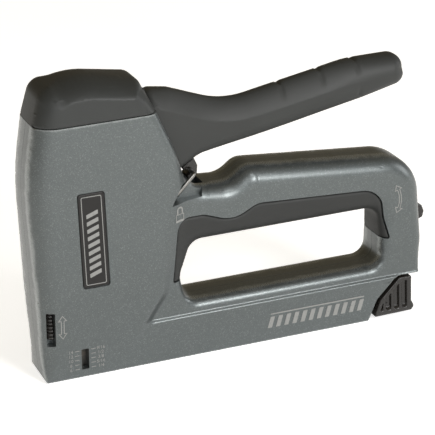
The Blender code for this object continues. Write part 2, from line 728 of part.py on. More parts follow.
def inset(loop, distance):
    """A closed counter-clockwise loop moved inwards along its corner bisectors."""
    points = np.asarray(loop, float)[:, :2]
    before = points - np.roll(points, 1, axis=0)
    after = np.roll(points, -1, axis=0) - points
    area = (points[:, 0] * np.roll(points[:, 1], -1) - np.roll(points[:, 0], -1) * points[:, 1]).sum()
    sign = 1.0 if area > 0 else -1.0
    normals = []
    for run in (before, after):
        run = run / np.maximum(np.linalg.norm(run, axis=1), 1e-9)[:, None]
        normals.append(sign * np.stack([-run[:, 1], run[:, 0]], 1))
    total = normals[0] + normals[1]
    scale = np.maximum((total * normals[0]).sum(axis=1), 0.3)
    return points + distance * total / scale[:, None]


# ---- Section bars, which run along x ----

def bar(name, section, x_low, x_high):
    """Straight solid of one (y, z) section between two x positions."""
    count = len(section)
    points = [(x, p[0], p[1]) for x in (x_low, x_high) for p in section]
    faces = [list(range(count)), list(range(count, 2 * count))[::-1]]
    for k in range(count):
        after = (k + 1) % count
        faces.append([k, k + count, after + count, after])
    mesh = bpy.data.meshes.new(name)
    mesh.from_pydata(to_world(points).tolist(), [], faces)
    return mesh


def arch(half, top, bottom, wall):
    """Section of an upside-down U: outer half width, top, open bottom and wall thickness."""
    inner = half - wall
    return [(-half, bottom), (-inner, bottom), (-inner, top - wall), (inner, top - wall),
            (inner, bottom), (half, bottom), (half, top), (-half, top)]


# ---- Lever ----

def lever_outline():
    """Outline of the lever: front arm, hub, throat and hand grip."""
    px, pz = LEVER_PIVOT
    tip = (ROLLER_X, ROLLER_Z)
    half = 2.3
    return rounded([
        (tip[0] - half, tip[1] - half, 2.0, 0.6, 0.4), (px - 8.0, pz - 6.6, 6.0, 0.8, 0.6),
        (px + 4.0, pz - 9.0, 6.0, 0.8, 0.6), (THROAT_X - 2.0, THROAT_Z + 3.0, 2.0, 1.4, 1.0),
        (78.0, 92.6, 16.0, 3.0, 2.0), (118.0, 99.2, 60.0, 5.0, 3.6),
        (156.0, 106.3, 60.0, 6.0, 4.0), (LEVER_TAIL_X - 0.6, LEVER_TAIL_Z - 4.6, 5.5, 6.0, 5.0),
        (LEVER_TAIL_X + 0.4, LEVER_TAIL_Z + 8.2, 8.0, 7.0, 6.6), (150.0, 123.4, 60.0, 8.5, 6.6),
        (92.0, 113.2, 40.0, 8.0, 6.2), (66.0, 122.9, 12.0, 7.0, 6.2),
        (55.8, 124.0, 4.0, 6.0, 5.6), (px - 6.0, pz + 13.0, 8.0, 1.0, 0.8),
        (px - 7.6, pz + 2.0, 5.0, 0.8, 0.6), (tip[0] - half, tip[1] + half, 2.0, 0.6, 0.4),
    ])


def lever_handle(paint):
    """Hand lever, with a fork for the lift roller at its front end."""
    outline = lever_outline()
    px, pz = LEVER_PIVOT
    hub = with_edge(circle(LEVER_PIVOT, LEVER_PIN_R + GAP / 3, 16))
    thin = with_edge([(0.0, pz - 30), (px - 9.5, pz - 30), (px - 9.5, pz + 30), (0.0, pz + 30)])

    def side(x, z):
        """Half width: full in the hand grip, slightly waisted at the throat."""
        width = LEVER_HALF - 0.9 * smooth(110.0, 80.0, x) * smooth(60.0, 80.0, x)
        return width - edge_fall(outline, x, z)

    def region(x, z):
        """Arm and grip have separate widths; the pin hole is open."""
        within = inside(outline, x, z) & ~inside(hub, x, z)
        arm = inside(thin, x, z)
        low = np.where(arm, 2, 0)
        high = np.where(arm, 3, 1)
        return np.where(within, low, -1), np.where(within, high, -1)

    surfaces = [lambda x, z: -side(x, z), side, level(-LEVER_ARM_HALF), level(LEVER_ARM_HALF)]
    extra = free_points([outline], [outline, hub, thin], (60.0, 172.0), (88.0, 124.0), 9.0)
    mesh = slab("lever_handle", [outline, hub, thin], region, surfaces, extra)
    obj = add_object("lever_handle", mesh, paint, LEVER_PIVOT)
    fork = rectangle((ROLLER_X - 6.0, ROLLER_X + ROLLER_R + 1.2), (ROLLER_Z - 8.0, ROLLER_Z + 8.0))
    cut(obj, prism("fork", fork, -ROLLER_HALF / 2 - GAP, ROLLER_HALF / 2 + GAP))
    eye = circle((ROLLER_X, ROLLER_Z), ROLLER_PIN_R + GAP / 3, 10)
    return cut(obj, prism("eye", eye, -LEVER_HALF, LEVER_HALF))


def lever_fittings(steel, bronze, black):
    """Pivot pin, its two bushes, the lift roller with its pin, and the lock hook."""
    px, pz = LEVER_PIVOT
    end = HEAD_HALF - BORE_FLOOR - GAP
    pin = [(LEVER_PIN_R - 0.4, -end), (LEVER_PIN_R, 0.4 - end), (LEVER_PIN_R, end - 0.4),
           (LEVER_PIN_R - 0.4, end)]
    add_object("lever_pin", turned("lever_pin", pin, (px, 0, pz), "y"), steel, LEVER_PIVOT)
    low, high = LEVER_HALF + GAP, end
    bore = LEVER_PIN_R + GAP / 3
    for name, side in (("lever_bush_left", -1), ("lever_bush_right", 1)):
        ring = [(bore, side * low), (LEVER_BUSH_R, side * low), (LEVER_BUSH_R, side * high),
                (bore, side * high), (bore, side * low)]
        add_object(name, turned(name, ring, (px, 0, pz), "y"), bronze, LEVER_PIVOT)
    bore = ROLLER_PIN_R + GAP / 3
    half = ROLLER_HALF / 2
    ring = [(bore, -half), (ROLLER_R, -half), (ROLLER_R, half), (bore, half), (bore, -half)]
    centre = (ROLLER_X, 0, ROLLER_Z)
    add_object("lift_roller", turned("lift_roller", ring, centre, "y"), steel, LEVER_PIVOT)
    rivet = [(ROLLER_PIN_R, -LEVER_ARM_HALF), (ROLLER_PIN_R, LEVER_ARM_HALF)]
    add_object("roller_pin", turned("roller_pin", rivet, centre, "y", 10), steel, LEVER_PIVOT)
    hook = [(69.9, 86.7), (76.6, 91.1), (78.6, 87.4), (77.6, 82.4), (74.9, 79.8), (72.2, 80.4),
            (71.2, 84.0)]
    add_object("lock_hook", prism("lock_hook", hook, -HOOK_HALF, HOOK_HALF), black, LEVER_PIVOT)


def lock_bail(wire_steel):
    """Spring-wire clip: an axle through the housing and a leg each side that ends in a catch."""
    (x0, z0), (x1, z1) = BAIL_PIVOT, BAIL_TOP
    bend = 2.0
    length = math.hypot(x1 - x0, z1 - z0)
    ux, uz = (x1 - x0) / length, (z1 - z0) / length
    half = []
    half.append((x1, HOOK_HALF + 0.9, z1))
    half.append((x1, BAIL_HALF - bend, z1))
    for angle in (30, 60, 90):
        a = math.radians(angle)
        back = bend * (1 - math.cos(a))
        half.append((x1 - ux * back, BAIL_HALF - bend * (1 - math.sin(a)), z1 - uz * back))
    for angle in (0, 30, 60, 90):
        a = math.radians(angle)
        ahead = bend * (1 - math.sin(a))
        half.append((x0 + ux * ahead, BAIL_HALF - bend * (1 - math.cos(a)), z0 + uz * ahead))
    path = half + [(x, -y, z) for x, y, z in reversed(half)]
    mesh = tube_along("lock_bail", path, BAIL_WIRE_R)
    return add_object("lock_bail", mesh, wire_steel, BAIL_PIVOT)


# ---- Striker train ----

STRIKER_FRONT = BLADE_X + BLADE_THICK / 2 + GAP


def striker(steel):
    """Striker block with a window for the lever's roller, and its riveted driver blade."""
    front, rear = STRIKER_FRONT, STRIKER_FRONT + STRIKER_DEPTH
    mesh = box("striker", (front, rear), (-STRIKER_HALF, STRIKER_HALF),
               (STRIKER_BOTTOM, STRIKER_TOP))
    obj = add_object("striker", mesh, steel)
    top = ROLLER_Z + ROLLER_R + GAP
    room = rectangle((front + 3.4, rear + 2.0), (top - 10.4, top))
    half = STRIKER_HALF - STRIKER_CHEEK
    cut(obj, prism("window", room, -half, half))
    rivet_z = STRIKER_BOTTOM + 8.0
    bore = [(1.3, front - 1.0), (1.3, front + 6.0)]
    cut(obj, turned("rivet_bore", bore, (0, 0, rivet_z), "x", 10))
    blade_front = BLADE_X - BLADE_THICK / 2
    mesh = box("driver_blade", (blade_front, BLADE_X + BLADE_THICK / 2),
               (-BLADE_HALF, BLADE_HALF), (BLADE_BOTTOM, rivet_z + 6.0))
    blade = add_object("driver_blade", mesh, steel)
    hole = [(1.3, blade_front - 2.0), (1.3, blade_front + 4.0)]
    cut(blade, turned("blade_hole", hole, (0, 0, rivet_z), "x", 10))
    head = [(1.8, blade_front - 0.9), (2.2, blade_front - 0.5), (2.2, blade_front - 0.2),
            (1.2, blade_front - 0.2), (1.2, front + 5.6)]
    add_object("blade_rivet", turned("blade_rivet", head, (0, 0, rivet_z), "x", 10), steel)


def spring_train(spring_steel, steel, rubber):
    """Main spring between striker and upper seat, and the bumper under the striker."""
    centre = (STRIKER_FRONT + STRIKER_DEPTH / 2 + 1.6, 0.0)
    top = SPRING_SEAT_Z - SEAT_THICK
    mesh = coil("main_spring", centre, "z", STRIKER_TOP + GAP, top - GAP, SPRING_R,
                SPRING_WIRE_R, SPRING_TURNS, 10, 6)
    add_object("main_spring", mesh, spring_steel)
    mesh = box("spring_seat", (10.4, 28.0), (-9.0, 9.0), (top, SPRING_SEAT_Z - GAP))
    add_object("spring_seat", mesh, steel)
    width = HEAD_HALF - WALL - 2 * GAP
    mesh = box("bumper", (STRIKER_FRONT + 2.6, STRIKER_FRONT + STRIKER_DEPTH), (-width, width),
               (STRIKER_BOTTOM - BUMPER_HEIGHT - GAP, STRIKER_BOTTOM - GAP))
    add_object("bumper", mesh, rubber)


def nose_and_liner(steel):
    """Sheet steel guide for the blade in the nose, and the liner of the magazine channel."""
    front = FRONT_WALL + GAP
    half = CHANNEL_HALF - 2 * GUIDE_GAP
    section = [(front, -half), (RAIL_FRONT + 2.0, -half), (RAIL_FRONT + 2.0, SHEET - half),
               (front + SHEET, SHEET - half), (front + SHEET, half - SHEET),
               (RAIL_FRONT + 2.0, half - SHEET), (RAIL_FRONT + 2.0, half), (front, half)]
    points = [(p[0], p[1], z) for z in (GAP, STRIKER_BOTTOM - 8.0) for p in section]
    count = len(section)
    faces = [list(range(count)), list(range(count, 2 * count))[::-1]]
    faces += [[k, k + count, (k + 1) % count + count, (k + 1) % count] for k in range(count)]
    mesh = bpy.data.meshes.new("nose_guide")
    mesh.from_pydata(to_world(points).tolist(), [], faces)
    add_object("nose_guide", mesh, steel)
    section = arch(CHANNEL_HALF - GAP, CHANNEL_TOP - GAP, RAIL_BOTTOM, SHEET)
    mesh = bar("magazine_liner", section, RAIL_FRONT + 2.0 + GAP, LINER_REAR)
    add_object("magazine_liner", mesh, steel)


# ---- Magazine ----

def magazine(steel, spring_steel, black):
    """Pull-out rail with its rod and end cap, and the pusher with its spring."""
    mesh = bar("magazine_rail", arch(RAIL_HALF, RAIL_TOP, RAIL_BOTTOM, SHEET), RAIL_FRONT,
               RAIL_REAR)
    add_object("magazine_rail", mesh, steel)
    rod = [(ROD_R, PUSHER_X - 1.6), (ROD_R, RAIL_REAR + 6.0)]
    add_object("guide_rod", turned("guide_rod", rod, (0, 0, ROD_Z), "x", 10), steel)
    inner = CHANNEL_HALF - GAP - SHEET - 2 * GAP
    top = CHANNEL_TOP - GAP - SHEET - GAP
    section = [(-inner, RAIL_BOTTOM - 1.9), (inner, RAIL_BOTTOM - 1.9), (inner, top), (-inner, top)]
    end = PUSHER_X + PUSHER_LENGTH
    pusher = add_object("pusher", bar("pusher", section, PUSHER_X, end), black)
    gap = 1.4 * GAP
    tunnel = arch(RAIL_HALF + gap, RAIL_TOP + gap, RAIL_BOTTOM - gap, SHEET + 2 * gap)
    cut(pusher, bar("rail_tunnel", tunnel, PUSHER_X - 1.0, end + 1.0))
    bore = [(ROD_R + GAP, PUSHER_X - 1.0), (ROD_R + GAP, end + 1.0)]
    cut(pusher, turned("rod_tunnel", bore, (0, 0, ROD_Z), "x", 10))
    mesh = coil("pusher_spring", (0, 0, ROD_Z), "x", end + GAP, RAIL_REAR - 2.0, COIL_R,
                COIL_WIRE_R, COIL_TURNS, 8, 5)
    add_object("pusher_spring", mesh, spring_steel)


def end_cap(black):
    """Ribbed plastic cap on the magazine's rear end, shaped to fill the housing's cut-out."""
    corners = [
        (CAP_FRONT + 0.6, 1.4, 0.6), (CAP_REAR, 1.4, 1.0), (CAP_REAR + 1.6, 3.4, 1.4),
        (CAP_REAR, 6.4, 1.2), (CAP_REAR, CUTOUT_TOP - 1.2, 1.0),
        (CUTOUT_REAR + 1.4, CUTOUT_TOP - 1.2, 1.0), (BASE_REAR + 5.8, 9.4, 5.0),
    ]
    outline = rounded(corners)
    loops = [with_edge(outline)]
    pitch = (CAP_REAR - CAP_FRONT - 4.0) / RIB_COUNT
    for k in range(RIB_COUNT):
        x = CAP_REAR - 2.4 - k * pitch
        top = CUTOUT_TOP - 2.6 if x - 2.0 > CUTOUT_REAR - 2.0 else 4.6 + 1.18 * (x - CAP_FRONT)
        loops.append(with_edge(rectangle((x - 2.4, x), (3.2, min(top, CUTOUT_TOP - 2.6)))))

    def region(x, z):
        """Grooves between the ribs lie a rib's depth inside the side."""
        within = inside(outline, x, z)
        groove = np.zeros(len(x), bool)
        for loop in loops[1:]:
            groove |= inside(loop, x, z)
        low = np.where(groove, 2, 0)
        high = np.where(groove, 3, 1)
        return np.where(within, low, -1), np.where(within, high, -1)

    half, deep = END_CAP_HALF, END_CAP_HALF - RIB_DEPTH
    surfaces = [level(-half), level(half), level(-deep), level(deep)]
    obj = add_object("magazine_end_cap", slab("magazine_end_cap", loops, region, surfaces), black)
    gap = GAP
    socket = [(-RAIL_HALF - gap, RAIL_BOTTOM - gap), (RAIL_HALF + gap, RAIL_BOTTOM - gap),
              (RAIL_HALF + gap, RAIL_TOP + gap), (-RAIL_HALF - gap, RAIL_TOP + gap)]
    cut(obj, bar("rail_socket", socket, CAP_FRONT - 10.0, RAIL_REAR + gap))
    bore = [(ROD_R + gap / 2, CAP_FRONT), (ROD_R + gap / 2, RAIL_REAR + 6.0 + gap)]
    return cut(obj, turned("rod_socket", bore, (0, 0, ROD_Z), "x", 10))


# ---- Small parts ----

def rear_latch(black, steel):
    """Pivoting latch in the housing's rear edge, with its pin."""
    px, pz = LATCH_PIVOT
    outline = rounded([
        (172.4, 44.4, 1.0, 0.8, 0.6), (180.6, 42.9, 0.6, 0.8, 0.6), (183.4, 41.9, 1.0, 1.2, 0.8),
        (186.2, 42.8, 1.2, 1.4, 1.0), (LATCH_REAR, 45.6, 1.2, 1.4, 1.0),
        (186.0, 48.6, 1.6, 1.4, 1.0), (180.5, 52.2, 1.6, 1.2, 0.8), (172.4, 50.6, 1.0, 0.8, 0.6),
    ])
    bore = with_edge(circle(LATCH_PIVOT, LATCH_PIN_R + GAP / 3, 10))

    def side(x, z):
        """Half width with a rounded edge."""
        return LATCH_HALF - edge_fall(outline, x, z)

    def region(x, z):
        """Open only at the pin."""
        within = inside(outline, x, z) & ~inside(bore, x, z)
        return np.where(within, 0, -1), np.where(within, 1, -1)

    mesh = slab("rear_latch", [outline, bore], region, [lambda x, z: -side(x, z), side])
    add_object("rear_latch", mesh, black, LATCH_PIVOT)
    end = GRIP_HALF - 2.0 - GAP
    pin = [(LATCH_PIN_R, -end), (LATCH_PIN_R, end)]
    add_object("latch_pin", turned("latch_pin", pin, (px, 0, pz), "y", 10), steel, LATCH_PIVOT)


def power_selector(black):
    """Ribbed slider in the recess at the nose's side."""
    xs = (SELECTOR_X[0] + GAP, SELECTOR_X[1] - GAP)
    top = SELECTOR_Z[1] - GAP
    pitch = SELECTOR_LENGTH / (2 * SELECTOR_RIBS)
    loops = [with_edge(rectangle(xs, (top - SELECTOR_LENGTH, top)))]
    for k in range(SELECTOR_RIBS):
        z = top - (2 * k + 1.5) * pitch
        loops.append(with_edge(rectangle(xs, (z - pitch, z))))

    def region(x, z):
        """Ribs stand above the grooves between them."""
        within = inside(loops[0], x, z)
        groove = np.zeros(len(x), bool)
        for loop in loops[1:]:
            groove |= inside(loop, x, z)
        return np.where(within, 0, -1), np.where(within, np.where(groove, 1, 2), -1)

    floor = SELECTOR_FLOOR + GAP

    def sloped(lift):
        """Face that stands further out towards the rear, like the housing beside it."""
        return lambda x, z: floor + lift + SELECTOR_SLOPE * (x - SELECTOR_X[0])

    surfaces = [level(floor), sloped(0.7), sloped(1.3)]
    mesh = slab("power_selector", loops, region, surfaces)
    mesh.transform(mathutils.Matrix.Scale(-1, 4, (0, 1, 0)))
    return add_object("power_selector", mesh, black)


def label_plate(paint):
    """Thin plain plate let into the head's side."""
    loop = with_edge(rounded([(LABEL_X[0], LABEL_Z[0], 1.2), (LABEL_X[1], LABEL_Z[0], 1.2),
                              (LABEL_X[1], LABEL_Z[1], 1.2), (LABEL_X[0], LABEL_Z[1], 1.2)]))

    def region(x, z):
        """Everything inside the plate's outline."""
        within = inside(loop, x, z)
        return np.where(within, 0, -1), np.where(within, 1, -1)

    surfaces = [lambda x, z: body_side(x, z) - LABEL_THICK, body_side]
    mesh = slab("label_plate", [loop], region, surfaces)
    mesh.transform(mathutils.Matrix.Scale(-1, 4, (0, 1, 0)))
    return add_object("label_plate", mesh, paint)


def housing_screws(steel):
    """Pan-head screws from the right half into the left."""
    for key, (x, z) in SCREWS.items():
        side = float(body_side(np.array([x]), np.array([z]))[0])
        seat = side - SEAT_DEPTH + GAP
        tip = -(side - BORE_FLOOR - GAP)
        profile = [(SCREW_R * 0.5, tip), (SCREW_R, tip + 1.0), (SCREW_R, seat),
                   (SCREW_HEAD_R, seat), (SCREW_HEAD_R, seat + 0.6 * SCREW_HEAD_DEPTH),
                   (SCREW_HEAD_R * 0.7, seat + SCREW_HEAD_DEPTH)]
        name = "screw_" + key
        add_object(name, turned(name, profile, (x, 0, z), "y", 12), steel)


def build():
    """Clears the scene and makes every piece."""
    for obj in list(bpy.data.objects):
        bpy.data.objects.remove(obj)
    cast = material("cast_housing", (0.16, 0.18, 0.18), 0.42, 0.55)
    charcoal = material("charcoal_plastic", (0.075, 0.078, 0.073), 0.5)
    rubber = material("grip_rubber", (0.05, 0.052, 0.048), 0.7)
    black = material("black_plastic", (0.015, 0.014, 0.013), 0.45)
    steel = material("bright_steel", (0.55, 0.55, 0.53), 0.3, 1.0)
    spring_steel = material("spring_steel", (0.3, 0.3, 0.3), 0.35, 1.0)
    bronze = material("bronze", (0.5, 0.33, 0.15), 0.4, 1.0)
    print_black = material("label_black", (0.016, 0.015, 0.013), 0.5)
    housing_half("housing_left", -1, cast)
    housing_half("housing_right", 1, cast)
    top_cap(charcoal)
    grip_insert(rubber)
    label_plate(print_black)
    housing_screws(steel)
    lever_handle(charcoal)
    lever_fittings(steel, bronze, black)
    lock_bail(steel)
    striker(steel)
    spring_train(spring_steel, steel, rubber)
    nose_and_liner(steel)
    magazine(steel, spring_steel, black)
    end_cap(black)
    rear_latch(black, steel)
    power_selector(black)


build()
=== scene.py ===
"""Looks of a hand staple gun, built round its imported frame.

Lengths in the profile are millimetres: x runs from the nose to the rear, z runs up, and y is the
distance from the parting plane. MM turns them into metres when a mesh is made.
"""

import json
import logging
import math
from dataclasses import dataclass, field
from enum import Enum
from typing import Any, Callable, Sequence

import bmesh
import bpy
import numpy as np
from mathutils import Matrix, Vector
from mathutils.geometry import delaunay_2d_cdt

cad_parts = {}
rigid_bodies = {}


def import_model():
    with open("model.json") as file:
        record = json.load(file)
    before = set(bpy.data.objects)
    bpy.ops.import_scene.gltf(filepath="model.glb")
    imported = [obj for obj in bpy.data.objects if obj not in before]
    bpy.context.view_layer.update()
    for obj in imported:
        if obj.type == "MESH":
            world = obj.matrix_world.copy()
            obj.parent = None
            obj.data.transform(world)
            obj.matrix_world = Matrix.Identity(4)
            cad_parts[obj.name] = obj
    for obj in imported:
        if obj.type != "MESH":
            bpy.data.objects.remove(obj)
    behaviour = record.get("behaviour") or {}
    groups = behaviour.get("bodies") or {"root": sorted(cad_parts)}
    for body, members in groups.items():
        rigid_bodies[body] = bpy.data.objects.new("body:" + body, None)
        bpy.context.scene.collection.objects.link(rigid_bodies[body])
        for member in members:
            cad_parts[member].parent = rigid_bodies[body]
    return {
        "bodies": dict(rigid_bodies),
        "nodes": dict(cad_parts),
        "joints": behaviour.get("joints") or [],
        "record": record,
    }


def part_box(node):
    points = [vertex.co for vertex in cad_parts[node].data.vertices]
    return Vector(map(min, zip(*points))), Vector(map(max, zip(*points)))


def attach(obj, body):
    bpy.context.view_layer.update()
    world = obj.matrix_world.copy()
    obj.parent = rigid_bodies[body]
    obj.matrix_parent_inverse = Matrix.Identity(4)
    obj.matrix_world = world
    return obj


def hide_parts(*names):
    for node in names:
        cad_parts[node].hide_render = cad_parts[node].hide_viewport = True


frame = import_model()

LOG = logging.getLogger("staple_gun")
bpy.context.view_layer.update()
MM = 0.001
GAP = 0.3                      # clearance between neighbouring pieces
SEAM = 0.11                    # half of the gap that shows between the housing halves
PRINT_BASE = 0.02              # how far a mark's back stands above the surface
PRINT_LIFT = 0.12              # how far its face does

Array = np.ndarray
Corner = tuple[float, ...]
Heights = Callable[[Array, Array], Array]
Region = Callable[[Array, Array], tuple[Array, Array]]


def joint_point(name: str) -> Vector:
    """Position of a joint in metres.

    Args:
        name: the joint's name in the record.

    Returns:
        The point that the record gives for it.
    """
    return Vector(next(j["pos_m"] for j in frame["joints"] if j["name"] == name))


LEVER_X = 55.0                 # profile x of the lever's axis, which fixes the profile's origin
ORIGIN_X = LEVER_X - joint_point("lever_squeeze").x / MM


def pivot_of(name: str) -> tuple[float, float]:
    """Profile x and z of a joint's axis, in millimetres."""
    point = joint_point(name)
    return point.x / MM + ORIGIN_X, point.z / MM


class Side(Enum):
    """The two halves of the housing, by the sign of their y."""

    LEFT = -1
    RIGHT = 1


# ---- Outlines in the profile ----

class Outline:
    """Closed outline whose points hold x, z, roll and drop.

    Roll is how far in from the edge the side is rounded, and drop is how far it falls there.
    """

    ARC = math.radians(5)
    LONGEST = 1.5

    def __init__(self, rows: Array) -> None:
        """Takes rows of x and z, with roll and drop where they are known."""
        rows = np.asarray(rows, float)
        self.rows = np.hstack([rows, np.zeros((len(rows), 4 - rows.shape[1]))])

    @classmethod
    def filleted(cls, corners: Sequence[Corner], longest: float = LONGEST) -> "Outline":
        """Outline through corners given as x, z, fillet radius, roll and drop.

        Args:
            corners: corners in counter-clockwise order; missing values count as zero.
            longest: the longest edge that is left undivided.
        """
        table = np.array([tuple(c) + (0.0,) * (5 - len(c)) for c in corners], float)
        rows: list[Array] = []
        for here, prior, after in zip(table, np.roll(table, 1, 0), np.roll(table, -1, 0)):
            back, ahead = prior[:2] - here[:2], after[:2] - here[:2]
            reach = 0.48 * min(np.linalg.norm(back), np.linalg.norm(ahead))
            u, v = back / np.linalg.norm(back), ahead / np.linalg.norm(ahead)
            half = math.acos(max(-1.0, min(1.0, float(u @ v)))) / 2
            radius = min(here[2], reach * math.tan(half))
            if radius < 0.05 or half > 1.55:
                rows.append(np.array([[here[0], here[1], here[3], here[4]]]))
                continue
            centre = here[:2] + (u + v) / np.linalg.norm(u + v) * radius / math.sin(half)
            start = here[:2] + u * radius / math.tan(half) - centre
            turn = math.copysign(math.pi - 2 * half, u[1] * v[0] - u[0] * v[1])
            angle = np.linspace(0.0, turn, max(2, math.ceil(abs(turn) / cls.ARC) + 1))
            x = centre[0] + start[0] * np.cos(angle) - start[1] * np.sin(angle)
            z = centre[1] + start[0] * np.sin(angle) + start[1] * np.cos(angle)
            rows.append(np.stack([x, z, np.full_like(x, here[3]), np.full_like(x, here[4])], 1))
        return cls(cls.divided(np.vstack(rows), longest))

    @staticmethod
    def divided(rows: Array, longest: float) -> Array:
        """The same closed outline with no edge longer than the given length."""
        step = np.roll(rows, -1, axis=0) - rows
        parts = np.maximum(1, np.ceil(np.linalg.norm(step[:, :2], axis=1) / longest)).astype(int)
        which = np.repeat(np.arange(len(rows)), parts)
        share = (np.arange(len(which)) - np.repeat(np.cumsum(parts) - parts, parts)) / parts[which]
        return rows[which] + step[which] * share[:, None]

    @classmethod
    def circle(cls, centre: Sequence[float], radius: float, sides: int = 48) -> "Outline":
        """Round outline about a centre."""
        angle = np.arange(sides) * 2 * math.pi / sides
        return cls(np.stack([centre[0] + radius * np.cos(angle),
                             centre[1] + radius * np.sin(angle)], 1))

    @classmethod
    def box(cls, xs: Sequence[float], zs: Sequence[float], grow: float = 0.0, radius: float = 0.0,
            longest: float = LONGEST) -> "Outline":
        """Upright rectangle, grown on each side, with rounded corners."""
        x0, x1, z0, z1 = xs[0] - grow, xs[1] + grow, zs[0] - grow, zs[1] + grow
        return cls.filleted([(x0, z0, radius), (x1, z0, radius), (x1, z1, radius),
                             (x0, z1, radius)], longest)

    def inside(self, x: Array, z: Array) -> Array:
        """True where a profile point lies inside."""
        x0, z0 = self.rows[:, 0][:, None], self.rows[:, 1][:, None]
        x1, z1 = np.roll(x0, -1, axis=0), np.roll(z0, -1, axis=0)
        crosses = (z0 > z) != (z1 > z)
        fall = np.where(z1 == z0, 1.0, z1 - z0)
        return (crosses & (x < (x1 - x0) * (z - z0) / fall + x0)).sum(axis=0) % 2 == 1

    def nearest(self, x: Array, z: Array) -> tuple[Array, Array, Array]:
        """Distance to the outline, with the roll and drop of its nearest spot.

        Args:
            x: profile positions along the length.
            z: profile heights.

        Returns:
            Distance, roll and drop, one value for each point.
        """
        ends = np.roll(self.rows, -1, axis=0)
        run = ends[:, :2] - self.rows[:, :2]
        square = np.maximum((run * run).sum(1), 1e-9)
        found = []
        for part in np.array_split(np.stack([x, z], 1), max(1, len(x) // 4000)):
            rel = part[:, None, :] - self.rows[None, :, :2]
            t = np.clip((rel * run).sum(2) / square, 0, 1)
            distance = np.linalg.norm(rel - t[:, :, None] * run, axis=2)
            best = distance.argmin(axis=1)
            row = np.arange(len(part))
            values = self.rows[best, 2:] + t[row, best][:, None] * (ends - self.rows)[best, 2:]
            found.append(np.column_stack([distance[row, best], values]))
        table = np.vstack(found)
        return table[:, 0], table[:, 1], table[:, 2]

    def fall(self, x: Array, z: Array, facet: float = 0.0) -> Array:
        """How far the side falls near the edge: part quarter ellipse, part flat facet."""
        distance, roll, drop = self.nearest(x, z)
        share = np.clip(1 - distance / np.maximum(roll, 0.01), 0, 1)
        return drop * ((1 - facet) * (1 - np.sqrt(1 - share * share)) + facet * share)

    def normals(self) -> Array:
        """Unit vectors that point inwards at each point."""
        run = np.roll(self.rows, -1, axis=0)[:, :2] - np.roll(self.rows, 1, axis=0)[:, :2]
        normal = np.stack([-run[:, 1], run[:, 0]], 1)
        return normal / np.maximum(np.linalg.norm(normal, axis=1), 1e-9)[:, None]

    def moved(self, distance: float) -> "Outline":
        """The outline moved inwards, or outwards for a negative distance."""
        rows = self.rows.copy()
        rows[:, :2] += distance * self.normals()
        return Outline(rows)

    def rings(self, levels: int = 9, inward: bool = True) -> Array:
        """Points on rows inside the edge, closest together where the side falls fastest."""
        depth = 1 - np.sin(np.linspace(math.pi / 2, 0.0, levels + 1)[1:])
        sign = 1.0 if inward else -1.0
        step = sign * depth[:, None, None] * (self.rows[:, 2:3] * self.normals())[None]
        return (self.rows[None, :, :2] + step).reshape(-1, 2)


def smooth(low: float, high: float, value: Array) -> Array:
    """Smooth step from 0 at low to 1 at high: three squares of t less two cubes."""
    t = np.clip((value - low) / (high - low), 0, 1)
    return t * t * (3 - 2 * t)


def lattice(xs: Sequence[float], zs: Sequence[float], step: float) -> Array:
    """Points of a triangular grid over a rectangle of the profile."""
    x, z = np.meshgrid(np.arange(xs[0], xs[1], step), np.arange(zs[0], zs[1], 0.87 * step))
    x = x + 0.5 * step * (np.arange(len(x)) % 2)[:, None]
    return np.stack([x, z], -1).reshape(-1, 2)


# ---- Meshes and pieces ----

def to_world(points: Array) -> Array:
    """Millimetres in the profile frame to metres in the frame of the part."""
    return (np.asarray(points, float) - np.array([ORIGIN_X, 0.0, 0.0])) * MM


def make_piece(name: str, points: Array, faces: Any, material: bpy.types.Material, body: str,
               replaces: Sequence[str] = (), sharp: float = 32.0,
               wear: Array | None = None) -> bpy.types.Object:
    """Turns points in millimetres into a finished piece that rides on a body.

    Args:
        name: the piece's name.
        points: x, y, z rows in the profile frame.
        faces: rows of point numbers.
        material: what it is dressed in.
        body: the body of the frame that carries it.
        replaces: frame nodes that it stands for.
        sharp: angle in degrees above which an edge stays sharp.
        wear: a value per point, near one where an edge is worn pale; on the cast housing the pale
            edge is partly a painted highlight.

    Returns:
        The linked object.
    """
    mesh = bpy.data.meshes.new(name)
    mesh.from_pydata(to_world(points).tolist(), [], [list(f) for f in faces])
    bm = bmesh.new()
    bm.from_mesh(mesh)
    bmesh.ops.recalc_face_normals(bm, faces=bm.faces)
    bm.to_mesh(mesh)
    bm.free()
    mesh.shade_smooth()
    mesh.set_sharp_from_angle(angle=math.radians(sharp))
    if wear is None:
        wear = np.zeros(len(mesh.vertices))
    attribute = mesh.attributes.new("wear", "FLOAT", "POINT")
    attribute.data.foreach_set("value", np.asarray(wear, np.float32))
    mesh.materials.append(material)
    obj = bpy.data.objects.new(name, mesh)
    bpy.context.scene.collection.objects.link(obj)
    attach(obj, body)
    if replaces:
        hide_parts(*replaces)
    LOG.info("%s: %d faces", name, len(mesh.polygons))
    return obj


